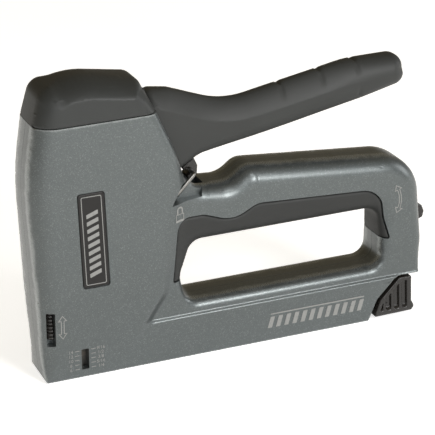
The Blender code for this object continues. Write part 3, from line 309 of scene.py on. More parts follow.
@dataclass
class Slab:
    """Solid between an inner and an outer surface over each region of the profile.

    The loops divide the profile. region(x, z) gives the numbers of the inner and the outer
    surface, or -1 where there is nothing, and heights(x, z) gives all surfaces as rows of y.
    """

    loops: list[Outline]
    region: Region
    heights: Heights
    extra: Array = field(default_factory=lambda: np.empty((0, 2)))
    cell: float = 0.3

    def triangles(self) -> tuple[Array, Array]:
        """Points and triangles of the divided profile."""
        rows = [loop.rows[:, :2] for loop in self.loops]
        fixed = np.vstack(rows)
        _, first = np.unique(np.round(np.vstack([fixed, self.extra]) / self.cell), axis=0,
                             return_index=True)
        spare = np.sort(first[first >= len(fixed)]) - len(fixed)
        edges: list[tuple[int, int]] = []
        start = 0
        for row in rows:
            count = len(row)
            edges += [(start + k, start + (k + 1) % count) for k in range(count)]
            start += count
        places = np.vstack([fixed, self.extra[spare]])
        flat, _, faces, *_ = delaunay_2d_cdt([Vector(p) for p in places], edges, [], 0, 1e-4,
                                             False)
        return np.array([tuple(v) for v in flat]), np.array(faces)

    def build(self) -> tuple[Array, Array]:
        """Closed mesh of the solid, in millimetres.

        Returns:
            Its points, and its triangles as rows of point numbers.
        """
        flat, faces = self.triangles()
        count = len(flat)
        centre = flat[faces].mean(axis=1)
        low, high = self.region(centre[:, 0], centre[:, 1])
        heights = self.heights(flat[:, 0], flat[:, 1])
        solid = low >= 0
        parts = [low[solid, None] * count + faces[solid],
                 (high[solid, None] * count + faces[solid])[:, ::-1]]
        used = np.zeros((len(heights), count), bool)
        for which in (low, high):
            used[which[solid][:, None], faces[solid]] = True
        walls = self.walls(faces, low, high, heights, used)
        if walls:
            parts.append(np.array(walls))
        every = np.vstack(parts)
        ids, index = np.unique(every, return_inverse=True)
        which, place = ids // count, ids % count
        points = np.stack([flat[place, 0], heights[which, place], flat[place, 1]], 1)
        return points, index.reshape(every.shape)

    @staticmethod
    def walls(faces: Array, low: Array, high: Array, heights: Array,
              used: Array) -> list[list[int]]:
        """Triangles that close the steps between regions with different surfaces."""
        count = heights.shape[1]
        ends = np.vstack([faces[:, [0, 1]], faces[:, [1, 2]], faces[:, [2, 0]]])
        owner = np.tile(np.arange(len(faces)), 3)
        keys = np.sort(ends, axis=1)
        order = np.lexsort((keys[:, 1], keys[:, 0]))
        keys, owner = keys[order], owner[order]
        same = np.all(keys[:-1] == keys[1:], axis=1)
        lone = ~(np.r_[same, False] | np.r_[False, same])
        made: list[list[int]] = []

        def column(v: int, a: int, b: int) -> list[tuple[float, int]]:
            """Points over a profile vertex between two surfaces, in order of height."""
            bottom, top = sorted((heights[a, v], heights[b, v]))
            between = np.nonzero(used[:, v] & (heights[:, v] >= bottom)
                                 & (heights[:, v] <= top))[0]
            return sorted((float(heights[w, v]), int(w) * count + v) for w in between)

        def close(edge: Array, a: int, b: int) -> None:
            """Fills the upright strip between two surfaces along one edge."""
            left, right = column(int(edge[0]), a, b), column(int(edge[1]), a, b)
            i = j = 0
            while i < len(left) - 1 or j < len(right) - 1:
                climb = j == len(right) - 1
                if i < len(left) - 1 and j < len(right) - 1:
                    climb = left[i + 1][0] < right[j + 1][0]
                if climb:
                    made.append([left[i][1], right[j][1], left[i + 1][1]])
                    i += 1
                else:
                    made.append([left[i][1], right[j][1], right[j + 1][1]])
                    j += 1

        first = np.nonzero(same)[0]
        one, two = owner[first], owner[first + 1]
        differ = (low[one] != low[two]) | (high[one] != high[two])
        for edge, f, g in zip(keys[first][differ], one[differ], two[differ]):
            if low[f] >= 0 and low[g] >= 0:
                pairs = [(low[f], low[g]), (high[f], high[g])]
            else:
                full = f if low[f] >= 0 else g
                pairs = [(low[full], high[full])]
            for a, b in pairs:
                if a != b:
                    close(edge, int(a), int(b))
        for edge, f in zip(keys[lone], owner[lone]):
            if low[f] >= 0:
                close(edge, int(low[f]), int(high[f]))
        return made


def plain_region(filled: Sequence[Outline], cut: Sequence[Outline] = ()) -> Region:
    """Region of a solid with two surfaces: inside a filled loop and outside every cut one.

    Args:
        filled: loops whose inside is solid.
        cut: loops whose inside is open.

    Returns:
        The function that a slab asks which surfaces bound it.
    """
    def region(x: Array, z: Array) -> tuple[Array, Array]:
        """Surface numbers 0 and 1 in the solid, and -1 outside."""
        within = np.any([loop.inside(x, z) for loop in filled], axis=0)
        for loop in cut:
            within &= ~loop.inside(x, z)
        return np.where(within, 0, -1), np.where(within, 1, -1)

    return region


def grid_faces(rows: int, columns: int, wrap: bool = True) -> Array:
    """Four-cornered faces of a grid of points, wrapped round its columns."""
    r, c = np.meshgrid(np.arange(rows - 1), np.arange(columns if wrap else columns - 1),
                       indexing="ij")
    after = (c + 1) % columns
    return np.stack([r * columns + c, r * columns + after, (r + 1) * columns + after,
                     (r + 1) * columns + c], -1).reshape(-1, 4)


def swept(path: Array, radius: Array | float, sides: int = 20) -> tuple[Array, list]:
    """Round rod along a path with domed ends, whose section is carried along without twist.

    Args:
        path: points along the middle, in millimetres.
        radius: one radius, or one for each point.
        sides: points round the section.

    Returns:
        Points and faces of the closed rod.
    """
    path = np.asarray(path, float)
    run = np.gradient(path, axis=0)
    run /= np.linalg.norm(run, axis=1)[:, None]
    radius = np.broadcast_to(np.asarray(radius, float), (len(path),)).copy()
    normals = np.empty_like(path)
    normal = np.cross(run[0], [0.3, 0.2, 0.9])
    for k, along in enumerate(run):
        normal = normal - along * (normal @ along)
        normal = normal / np.linalg.norm(normal)
        normals[k] = normal
    dome = np.linspace(0.0, math.pi / 2, 5)[1:]
    rings = [np.sin(dome), np.cos(dome)]
    path = np.vstack([path[0] - run[0] * radius[0] * rings[1][:, None], path,
                      path[-1] + run[-1] * radius[-1] * rings[1][::-1, None]])
    lead = len(dome)
    run = np.vstack([np.repeat(run[:1], lead, 0), run, np.repeat(run[-1:], lead, 0)])
    normals = np.vstack([np.repeat(normals[:1], lead, 0), normals,
                         np.repeat(normals[-1:], lead, 0)])
    radius = np.concatenate([radius[0] * rings[0], radius, radius[-1] * rings[0][::-1]])
    angle = np.arange(sides) * 2 * math.pi / sides
    across = (np.cos(angle)[None, :, None] * normals[:, None]
              + np.sin(angle)[None, :, None] * np.cross(run, normals)[:, None])
    points = (path[:, None] + radius[:, None, None] * across).reshape(-1, 3)
    faces = grid_faces(len(path), sides).tolist()
    faces += [list(range(sides)), list(range(len(points) - sides, len(points)))[::-1]]
    return points, faces


# ---- Shader graphs ----

class Value:
    """Output of a shader node, with arithmetic that makes Math nodes."""

    def __init__(self, graph: "Graph", socket: bpy.types.NodeSocket) -> None:
        """Keeps the graph and the output."""
        self.graph = graph
        self.socket = socket

    def _math(self, operation: str, *others: Any) -> "Value":
        """Math node whose first value is this one."""
        return self.graph.math(operation, self, *others)

    def __add__(self, other: Any) -> "Value":
        """Sum."""
        return self._math("ADD", other)

    def __sub__(self, other: Any) -> "Value":
        """Difference."""
        return self._math("SUBTRACT", other)

    def __mul__(self, other: Any) -> "Value":
        """Product."""
        return self._math("MULTIPLY", other)

    def __truediv__(self, other: Any) -> "Value":
        """Quotient."""
        return self._math("DIVIDE", other)

    def __pow__(self, other: Any) -> "Value":
        """Power."""
        return self._math("POWER", other)

    def __rsub__(self, other: Any) -> "Value":
        """A number less this value."""
        return self.graph.math("SUBTRACT", other, self)

    def __rtruediv__(self, other: Any) -> "Value":
        """A number over this value."""
        return self.graph.math("DIVIDE", other, self)

    __radd__ = __add__
    __rmul__ = __mul__

    def above(self, level: float, width: float = 0.05) -> "Value":
        """0 below a level and 1 above it, with a soft step between."""
        return self.graph.node("ShaderNodeMapRange", {"interpolation_type": "SMOOTHSTEP"},
                               {"Value": self, "From Min": level - width,
                                "From Max": level + width})


class Graph:
    """Node tree of one material, which ends in a Principled BSDF."""

    def __init__(self, name: str) -> None:
        """Starts an empty material."""
        self.material = bpy.data.materials.new(name)
        self.material.use_nodes = True
        self.tree = self.material.node_tree
        self.shader = self.tree.nodes["Principled BSDF"]

    def node(self, kind: str, settings: dict[str, Any] | None = None,
             inputs: dict[Any, Any] | None = None, output: Any = 0) -> Value:
        """Any node.

        Args:
            kind: the node's type.
            settings: its properties, which are set first.
            inputs: values or other outputs for its sockets, by name or number.
            output: name or number of the output that is returned.

        Returns:
            The chosen output.
        """
        made = self.tree.nodes.new(kind)
        for key, value in (settings or {}).items():
            setattr(made, key, value)
        for key, value in (inputs or {}).items():
            self.feed(made.inputs[key], value)
        return Value(self, made.outputs[output])

    def feed(self, socket: bpy.types.NodeSocket, value: Any) -> None:
        """Links an output to a socket, or sets the socket to a plain value."""
        if isinstance(value, Value):
            self.tree.links.new(value.socket, socket)
        else:
            socket.default_value = value

    def math(self, operation: str, *values: Any) -> Value:
        """Math node on numbers and outputs."""
        return self.node("ShaderNodeMath", {"operation": operation}, dict(enumerate(values)))

    def mix(self, share: Any, first: Any, second: Any, blend: str = "MIX") -> Value:
        """Mix of two colours."""
        settings = {"data_type": "RGBA", "blend_type": blend}
        rgba = [c if isinstance(c, Value) else (*c, 1.0) for c in (first, second)]
        return self.node("ShaderNodeMix", settings, {0: share, 6: rgba[0], 7: rgba[1]}, 2)

    def place(self, scale: Sequence[float] = (1.0, 1.0, 1.0)) -> Value:
        """The piece's own position, in metres, stretched along its axes."""
        position = self.node("ShaderNodeTexCoord", output="Object")
        return self.node("ShaderNodeVectorMath", {"operation": "MULTIPLY"},
                         {0: position, 1: tuple(scale)})

    def noise(self, scale: float, detail: float = 2.0, rough: float = 0.5,
              stretch: Sequence[float] = (1.0, 1.0, 1.0)) -> Value:
        """Smooth noise from 0 to 1, with so many features to the metre."""
        return self.node("ShaderNodeTexNoise", None,
                         {"Vector": self.place(stretch), "Scale": scale, "Detail": detail,
                          "Roughness": rough})

    def cells(self, scale: float, feature: str = "F1", output: str = "Color") -> Value:
        """Cells with one random colour each."""
        return self.node("ShaderNodeTexVoronoi", {"feature": feature},
                         {"Vector": self.place(), "Scale": scale}, output)

    def wear(self) -> Value:
        """The mesh's own wear attribute."""
        return self.node("ShaderNodeAttribute", {"attribute_name": "wear"}, output="Fac")

    def bump(self, height: Value, strength: float, distance: float) -> Value:
        """Normal of a surface with small relief, whose depth is in metres."""
        return self.node("ShaderNodeBump", None,
                         {"Strength": strength, "Distance": distance, "Height": height})

    def finish(self, uniform: dict[str, Any], varying: dict[str, Value]) -> bpy.types.Material:
        """Sets the shader's plain values and links what varies over the surface."""
        for key, value in uniform.items():
            self.shader.inputs[key].default_value = value
        for key, value in varying.items():
            self.feed(self.shader.inputs[key], value)
        return self.material


Rgb = tuple[float, float, float]


def scaled(color: Rgb, factor: float, lift: float = 0.0) -> Rgb:
    """The colour with each channel times a factor, plus a lift."""
    red, green, blue = color
    return lift + factor * red, lift + factor * green, lift + factor * blue


@dataclass(frozen=True)
class CastPaint:
    """Satin metallic coat on cast metal: fine flakes, faint clouds, and edges made paler, partly as
    worn paint and partly as a painted highlight.
    """

    name: str
    color: Rgb = (0.098, 0.109, 0.109)
    flake_wear_and_highlight: Rgb = (0.36, 0.38, 0.375)
    metallic: float = 0.72
    roughness: float = 0.36
    flakes: float = 3200.0
    coat: float = 0.15
    coat_roughness: float = 0.25
    depth: float = 0.00008

    def make(self) -> bpy.types.Material:
        """Builds the material."""
        g = Graph(self.name)
        flake = g.node("ShaderNodeSeparateColor", None, {"Color": g.cells(self.flakes)})
        fine = g.node("ShaderNodeSeparateColor", None, {"Color": g.cells(self.flakes * 1.7)})
        cloud = g.noise(38.0, 3.0)
        spark = flake.above(0.93, 0.05) * 0.15 + fine.above(0.85, 0.1) * 0.08
        shade = g.mix(cloud * 0.3 + flake * 0.35, scaled(self.color, 0.8),
                      scaled(self.color, 1.2))
        # Paler edges from the wear attribute: partly worn paint, partly a painted highlight along
        # the outer edges.
        rubbed = (g.wear() * (0.5 + 0.9 * g.noise(260.0, 4.0))).above(0.72, 0.2)
        color = g.mix(rubbed * 0.4, g.mix(spark, shade, self.flake_wear_and_highlight), self.flake_wear_and_highlight)
        rough = self.roughness + 0.08 * (cloud - 0.5) + 0.14 * (fine - 0.5) - 0.05 * rubbed
        relief = g.noise(620.0, 2.0) * 0.6 + flake * 0.2
        return g.finish({"Metallic": self.metallic, "Coat Weight": self.coat,
                         "Coat Roughness": self.coat_roughness},
                        {"Base Color": color, "Roughness": rough,
                         "Normal": g.bump(relief, 0.25, self.depth)})


@dataclass(frozen=True)
class Moulded:
    """Moulded plastic with a fine spark-eroded grain, faint scuffs and paler edges."""

    name: str
    color: Rgb
    roughness: float = 0.45
    grain: float = 1300.0
    depth: float = 0.00006
    scuff: float = 0.12
    specular: float = 0.5

    def make(self) -> bpy.types.Material:
        """Builds the material."""
        g = Graph(self.name)
        pale = scaled(self.color, 1.5, 0.04)
        cloud = g.noise(55.0, 4.0)
        grain = g.noise(self.grain, 3.0, 0.6)
        scratch = g.noise(70.0, 5.0, 0.7, (1.0, 6.0, 9.0)).above(0.66, 0.04)
        edge = (g.wear() * (0.4 + g.noise(300.0, 3.0))).above(0.75, 0.25)
        base = g.mix(cloud, scaled(self.color, 0.86),
                     scaled(self.color, 1.14))
        color = g.mix(self.scuff * (0.5 * scratch + edge), base, pale)
        rough = self.roughness + 0.12 * (cloud - 0.5) + 0.12 * (grain - 0.5) - 0.05 * edge
        return g.finish({"Specular IOR Level": self.specular},
                        {"Base Color": color, "Roughness": rough,
                         "Normal": g.bump(grain, 0.5, self.depth)})


@dataclass(frozen=True)
class Steel:
    """Bare steel, brushed along one axis, with stains and tiny scratches."""

    name: str
    color: Rgb = (0.56, 0.555, 0.54)
    roughness: float = 0.28
    stretch: tuple[float, float, float] = (0.05, 1.0, 1.0)
    tint: Rgb = (0.30, 0.25, 0.19)
    oil: float = 0.25
    depth: float = 0.00004

    def make(self) -> bpy.types.Material:
        """Builds the material."""
        g = Graph(self.name)
        lines = g.noise(2600.0, 3.0, 0.6, self.stretch)
        stain = g.noise(120.0, 5.0, 0.65).above(0.6, 0.12)
        color = g.mix(self.oil * stain, g.mix(lines * 0.5, self.color,
                                              scaled(self.color, 0.72)), self.tint)
        rough = self.roughness + 0.22 * (lines - 0.5) + 0.16 * stain
        return g.finish({"Metallic": 1.0}, {"Base Color": color, "Roughness": rough,
                                            "Normal": g.bump(lines, 0.35, self.depth)})


@dataclass(frozen=True)
class Printed:
    """Pad-printed or foil mark with small gaps where it is rubbed."""

    name: str
    color: Rgb = (0.21, 0.21, 0.20)
    under: Rgb = (0.12, 0.13, 0.125)
    roughness: float = 0.5

    def make(self) -> bpy.types.Material:
        """Builds the material."""
        g = Graph(self.name)
        worn = g.noise(900.0, 4.0, 0.65).above(0.62, 0.06)
        cloud = g.noise(90.0, 3.0)
        color = g.mix(0.5 * worn, g.mix(cloud, self.color, scaled(self.color, 0.88)),
                      self.under)
        return g.finish({}, {"Base Color": color, "Roughness": self.roughness + 0.15 * worn,
                             "Normal": g.bump(worn, 0.2, 0.00003)})


class Finish(Enum):
    """Every finish on the object, as its recipe."""

    CAST = CastPaint("flaked_coat")
    CHARCOAL = Moulded("lever_grain", (0.0285, 0.0295, 0.0280), 0.48, 1500.0, 0.00005, 0.14, 0.25)
    CAP = Moulded("cap_grain", (0.0265, 0.0280, 0.0268), 0.46, 1500.0, 0.00004, 0.14, 0.28)
    RUBBER = Moulded("rubber_grain", (0.020, 0.0205, 0.0195), 0.5, 900.0, 0.00008, 0.06, 0.28)
    BLACK = Moulded("black_grain", (0.011, 0.0095, 0.008), 0.27, 1400.0, 0.00004, 0.14)
    LABEL = Moulded("label_coat", (0.009, 0.0082, 0.0075), 0.36, 2200.0, 0.00002, 0.03, 0.3)
    STEEL = Steel("brushed_steel")
    WIRE = Steel("drawn_wire", (0.24, 0.235, 0.22), 0.3, (1.0, 0.3, 1.0), oil=0.35)
    SPRING = Steel("coiled_steel", (0.27, 0.27, 0.26), 0.33, (1.0, 1.0, 0.3), oil=0.5)
    BRONZE = Steel("worn_bronze", (0.52, 0.33, 0.14), 0.36, (1.0, 0.2, 1.0), (0.2, 0.1, 0.04), 0.4)
    # Painted shade: the inner steel parts are made dark so the window and the nose look shaded
    # inside; the stains on it are real.
    DARK_STEEL = Steel("shade_darkened_steel", (0.09, 0.088, 0.082), 0.42, oil=0.5)
    MARK = Printed("light_print")

    def material(self) -> bpy.types.Material:
        """The finished material, which is made once."""
        return bpy.data.materials.get(self.value.name) or self.value.make()


# ---- Housing ----

@dataclass(frozen=True)
class HousingShape:
    """Sizes and outlines that both halves, the grip insert and the marks share."""

    body_rear: float = 181.8
    front_bulge: float = 1.3
    head_top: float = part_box("housing_left")[1].z / MM
    head_rear_top: float = 56.2
    head_front_top: float = 2.9
    throat: tuple[float, float] = (68.4, 84.0)
    saddle_z: float = 78.7
    crest: tuple[float, float] = (98.0, 84.2)
    grip_rear_z: float = 76.4
    base_rear: float = 154.3
    cutout_top: float = 20.2
    cutout_rear: float = 168.5
    ledge_z: float = 20.4
    opening_x: tuple[float, float] = (64.4, 161.8)
    opening_z: tuple[float, float] = (26.0, 53.8)
    head_half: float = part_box("housing_right")[1].y / MM
    nose_half: float = 12.2
    grip_half: float = 13.0
    magazine_half: float = 13.0
    band_half: float = 11.9
    wall: float = 2.4
    channel_half: float = 8.6
    channel_top: float = 17.6
    front_wall: float = 3.2
    cap_height: float = 20.4
    lever_slot_half: float = 9.3
    hook_slot_half: float = 5.0
    notch_half: float = 8.95
    notch_step: float = 0.7
    latch_slot_half: float = 4.2

    def lower(self) -> list[Corner]:
        """Corners from the nose along the base and grip to the head's rear edge."""
        rear, (tx, tz), (cx, cz) = self.body_rear, self.throat, self.crest
        return [
            (0, 0, 1.5, 1.6, 1.2), (self.base_rear, 0, 0.6, 1.0, 0.7),
            (self.base_rear + 4.2, 10, 6, 1.0, 0.6),
            (self.cutout_rear, self.cutout_top, 5, 1.0, 0.6),
            (rear - 2, self.cutout_top - 0.4, 1, 1.4, 1.0), (rear, 34, 40, 5, 5),
            (rear - 0.4, self.grip_rear_z, 20, 8, 7.6), (cx, cz, 9, 8.5, 7.6),
            (90, self.saddle_z - 0.4, 11, 8.5, 7.6), (tx + 6, self.saddle_z, 6, 7, 6),
            (tx, tz, 4, 5, 4), (self.head_rear_top + 6.6, 101, 90, 5, 4),
        ]

    def outline(self, rolled: bool = False) -> Outline:
        """The housing's outline, or the one whose head runs on up into the cap."""
        rear = (self.head_rear_top, self.head_top, 0.0, 5.0, 4.0)
        front = (self.head_front_top, self.head_top, 0.0, 10.0, 9.5)
        top = [rear, front]
        if rolled:
            top = [rear, *[(c[0], c[1] + self.cap_height, *c[2:]) for c in (rear, front)], front]
        nose = [(-self.front_bulge - 0.6, 92, 120, 10, 9.5), (-0.6, 12, 30, 8, 6)]
        return Outline.filleted(self.lower() + top + nose)

    def opening(self) -> Outline:
        """The finger opening."""
        (x0, x1), (z0, z1) = self.opening_x, self.opening_z
        return Outline.filleted([
            (x0 + 2, z0, 7, 4.5, 4), (x1, z0, 13, 4.5, 4.5), (x1, 40, 8, 6, 6),
            (x1 - 0.6, z1, 9, 9, 7), (x0 + 7.4, z1 - 0.2, 7, 9, 7), (x0, 40, 12, 4.2, 5)])

    def insert_zone(self) -> Outline:
        """Outer edge of the rubber channel round the upper side of the opening."""
        (x0, x1) = self.opening_x
        return Outline.filleted([
            (x0 + 1.6, 37.6, 0), (x1 - 3, 39, 0), (165.4, 39, 1), (160.2, 64.3, 11),
            (101, 67.8, 11), (89.5, 61.8, 14), (76, 66.8, 9), (63.4, 66.8, 9), (60, 37, 1)])

    def width(self, x: Array, z: Array) -> Array:
        """Half width before the edges are rounded: head in front, grip and magazine behind."""
        head = self.nose_half + (self.head_half - self.nose_half) * smooth(-4.0, 44.0, z)
        low = self.nose_half + (self.magazine_half - self.nose_half) * np.clip(
            z / self.ledge_z, 0, 1)
        grip = self.band_half + (self.grip_half - self.band_half) * smooth(
            self.ledge_z + 2, self.ledge_z + 14, z)
        rear = low + (grip - low) * smooth(self.ledge_z - 0.8, self.ledge_z + 0.8, z)
        # The head runs out along a slanted line that grows steeper above the opening's foot.
        front = np.where(z < 34, 34 + 0.64 * z, 55.8 + 0.22 * (z - 34))
        spread = 2.5 + 4.0 * smooth(10.0, 60.0, z)
        return head + (rear - head) * smooth(-spread, spread, x - front)


class HousingSide:
    """The housing's outer side as a height field, with the outlines behind it."""

    def __init__(self, shape: HousingShape) -> None:
        """Works out the outlines once."""
        self.shape = shape
        self.edge = shape.outline()
        self.rolled = shape.outline(rolled=True)
        self.opening = shape.opening()
        self.insert = shape.insert_zone()

    def height(self, x: Array, z: Array) -> Array:
        """Distance of the side from the parting plane."""
        return (self.shape.width(x, z) - self.rolled.fall(x, z) - self.opening.fall(x, z))

    def wear(self, x: Array, z: Array) -> Array:
        """Near one on the outer edges, falling off over a millimetre or two: worn paint there, and
        a painted highlight along the edges.
        """
        near = np.minimum(self.edge.nearest(x, z)[0], self.opening.nearest(x, z)[0])
        return np.exp(-near / 1.6)

    def at(self, x: float, z: float) -> float:
        """The side's height over one point."""
        return float(self.height(np.array([x]), np.array([z]))[0])


SCREW_PLACES = {"head_top": (41.5, 111.0), "head_middle": (29.5, 72.0),
                "head_rear": (53.2, 47.0), "nose": (33.0, 30.0), "grip": (120.0, 75.2),
                "rear": (173.6, 29.6)}


SURFACES = ("parting", "side", "wall", "channel", "lever", "hook", "notch", "latch", "pocket",
            "label", "selector", "pin_floor", "selector_back")


@dataclass
class HousingHalf:
    """One cast half: the left one has the marks, the right one the screw heads."""

    side: Side
    face: HousingSide
    step: float = 1.15
    screw_r: float = 1.5
    screw_head_r: float = 3.0
    seat_depth: float = 2.8
    bore_floor: float = 3.0
    post_wall: float = 1.3
    selector_x: tuple[float, float] = (1.3, 4.9)
    selector_z: tuple[float, float] = (18.2, 34.6)
    selector_floor: float = 9.5
    selector_back: float = 1.6
    window_x: tuple[float, float] = (16.2, 19.6)
    window_z: tuple[float, float] = (4.2, 14.4)
    label_x: tuple[float, float] = (18.2, 30.0)
    label_z: tuple[float, float] = (44.0, 87.0)
    label_depth: float = 0.8
    quick_step: float = 3.0
    ledge_x: tuple[float, float] = (34.0, 180.0)
    ledge_reach: float = 0.9
    ledge_clear: float = 1.3
    ledge_rows: int = 7
    ledge_step: float = 1.2

    def loops(self) -> dict[str, Outline]:
        """Every outline that divides this half's profile, by name."""
        s, top = self.face.shape, self.face.shape.head_top
        plain = Outline.filleted
        bail, latch = pivot_of("bail_swing"), pivot_of("latch_turn")
        loops = {
            "outline": self.face.edge, "opening": self.face.opening,
            "insert": self.face.insert,
            "head": plain([
                (s.front_wall, 22), (46, 22), (56.4, 36), (57.2, 68), (59, 86), (55.6, 103),
                (52, top - 4.2), (50, top + 12.8), (6, top + 12.8), (6, top - 2), (3, 94)], 4),
            "grip": plain([
                (102, 70.6), (152, 68), (163, 62), (168.2, 44), (166.4, 27), (177.8, 27),
                (177.8, 55), (173, 68), (160, 74.8), (102, 80.6)], 4),
            "channel": Outline.box((s.front_wall, s.body_rear + 9), (-6, s.channel_top), 0, 0, 4),
            "throat": Outline.box((s.front_wall, 24), (s.channel_top, 22), 0, 0, 4),
            "hook": Outline.box((60.5, 79), (70, 87.6), 0, 0, 2),
            "lever": plain([(54, 83.5), (75, 83.5), (75, top + 4.8), (50, top + 4.8),
                            (52, 103)], 2),
            "notch": plain([(60.1, 74.3, 0.4), (75.6, 75.0, 0.4), (77.4, 80), (77.4, 83),
                            (65.7, 83)], 1),
            "latch": Outline.box((169, 190), (40, 57), 0, 0, 2),
            "lever_bush": Outline.circle(pivot_of("lever_squeeze"), 4.9),
            "bail": Outline.circle(bail, 1.25, 24),
            "latch_pin": Outline.circle(latch, 1.6, 24),
        }
        for key, place in SCREW_PLACES.items():
            loops["post_" + key] = Outline.circle(
                place, self.screw_head_r + GAP + self.post_wall, 32)
            loops["bore_" + key] = Outline.circle(place, self.screw_r + GAP, 20)
            if self.side is Side.RIGHT:
                loops["seat_" + key] = Outline.circle(place, self.screw_head_r + GAP, 48)
        if self.side is Side.LEFT:
            loops["window"] = Outline.box(self.window_x, self.window_z, 0, 0.5, 0.6)
            loops["label"] = Outline.box(self.label_x, self.label_z, GAP, 1.4, 0.8)
            loops["selector"] = Outline.box(self.selector_x, self.selector_z, 0, 0.3, 0.8)
            loops["frame"] = Outline.box(self.selector_x, self.selector_z, self.selector_back)
        return loops

    def levels(self) -> dict[str, float]:
        """Distance of each flat surface from the parting plane, by name."""
        s = self.face.shape
        levels = {"parting": SEAM, "channel": s.channel_half, "lever": s.lever_slot_half,
                  "hook": s.hook_slot_half, "latch": s.latch_slot_half,
                  "pocket": s.head_half - self.bore_floor, "selector": self.selector_floor,
                  "pin_floor": s.grip_half - 2.0,
                  "selector_back": self.selector_floor - self.selector_back}
        for key, place in SCREW_PLACES.items():
            seat = self.face.at(*place)
            levels["seat_" + key] = seat - self.seat_depth
            levels["floor_" + key] = seat - self.bore_floor
        return levels

    def inner_points(self) -> Array:
        """Points between the outlines: close rows along the ledge, an even lattice elsewhere."""
        s, front = self.face.shape, self.ledge_x[0]
        along = np.arange(*self.ledge_x, self.ledge_step)
        across = s.ledge_z + np.linspace(-self.ledge_reach, self.ledge_reach, self.ledge_rows)
        rows = np.stack(np.meshgrid(along, across), -1).reshape(-1, 2)
        even = lattice((-2, s.body_rear), (0, s.head_top),
                       self.step)
        beside = (np.abs(even[:, 1] - s.ledge_z) > self.ledge_clear) | (even[:, 0] < front)
        return np.vstack([self.face.edge.rings(), self.face.opening.rings(inward=False), rows,
                          even[beside]])

    def build(self) -> bpy.types.Object:
        """Builds this half and dresses it."""
        s, loops, levels = self.face.shape, self.loops(), self.levels()
        names = [*SURFACES, *(kind + key for key in SCREW_PLACES for kind in ("seat_", "floor_"))]
        number = {key: k for k, key in enumerate(names)}

        def heights(x: Array, z: Array) -> Array:
            """Every surface over the profile's points."""
            outer = self.face.height(x, z)
            table = {key: np.full(len(x), float(value)) for key, value in levels.items()}
            table |= {"side": outer, "wall": outer - s.wall,
                      "notch": np.minimum(s.notch_half, outer - s.notch_step),
                      "label": outer - self.label_depth}
            return np.stack([table[key] for key in names])

        def region(x: Array, z: Array) -> tuple[Array, Array]:
            """Inner and outer surface numbers; later lines win over earlier ones."""
            within = {key: loop.inside(x, z) for key, loop in loops.items()}
            low = np.full(len(x), number["parting"])
            high = np.full(len(x), number["side"])
            low[within["head"] | within["grip"]] = number["wall"]
            low[within["channel"] | within["throat"]] = number["channel"]
            low[within["hook"] & ~within["head"]] = number["hook"]
            low[within["lever"]] = number["lever"]
            low[within["latch"]] = number["latch"]
            low[within["lever_bush"]] = number["pocket"]
            low[within["latch_pin"]] = number["pin_floor"]
            notch = within["notch"] & ~within["lever"]
            high[notch] = number["notch"]
            low[notch] = number["hook"]
            if self.side is Side.LEFT:
                high[within["label"]] = number["label"]
                high[within["selector"]] = number["selector"]
                hollow = within["head"] | within["throat"]
                low[within["frame"] & hollow] = number["selector_back"]
            gone = ~within["outline"] | within["opening"] | within["insert"] | within["bail"]
            for key in SCREW_PLACES:
                low[within["post_" + key]] = number["parting"]
                if self.side is Side.RIGHT:
                    high[within["seat_" + key]] = number["seat_" + key]
                    gone |= within["bore_" + key]
                else:
                    low[within["bore_" + key]] = number["floor_" + key]
            if self.side is Side.LEFT:
                gone |= within["window"]
            low[gone] = -1
            high[gone] = -1
            return low, high

        points, faces = Slab(list(loops.values()), region, heights, self.inner_points(),
                             0.22).build()
        # The edge value pales the paint: worn edges and a painted highlight along them.
        wear = self.face.wear(points[:, 0], points[:, 2])
        wear[points[:, 1] < s.hook_slot_half] = 0.0
        points[:, 1] *= self.side.value
        name = "housing_" + self.side.name.lower()
        return make_piece("cast_" + name, points, faces, Finish.CAST.material(), "housing",
                          [name], 30.0, wear)


# ---- Mirrored shells: cap, grip insert, lever ----

def mirrored(points: Array, faces: Array, plane: float = 1e-6) -> tuple[Array, Array]:
    """Joins a half solid with its mirror image across the parting plane.

    Args:
        points: points of the half with y at or above zero.
        faces: its triangles.
        plane: largest y that counts as lying in the plane.

    Returns:
        Points and triangles of the whole, without the faces in the plane.
    """
    flat = np.abs(points[:, 1]) < plane
    kept = faces[~flat[faces].all(axis=1)]
    twin = np.arange(len(points)) + len(points)
    twin[flat] = np.nonzero(flat)[0]
    every = np.vstack([kept, twin[kept][:, ::-1]])
    both = np.vstack([points, points * np.array([1.0, -1.0, 1.0])])
    ids, index = np.unique(every, return_inverse=True)
    return both[ids], index.reshape(every.shape)


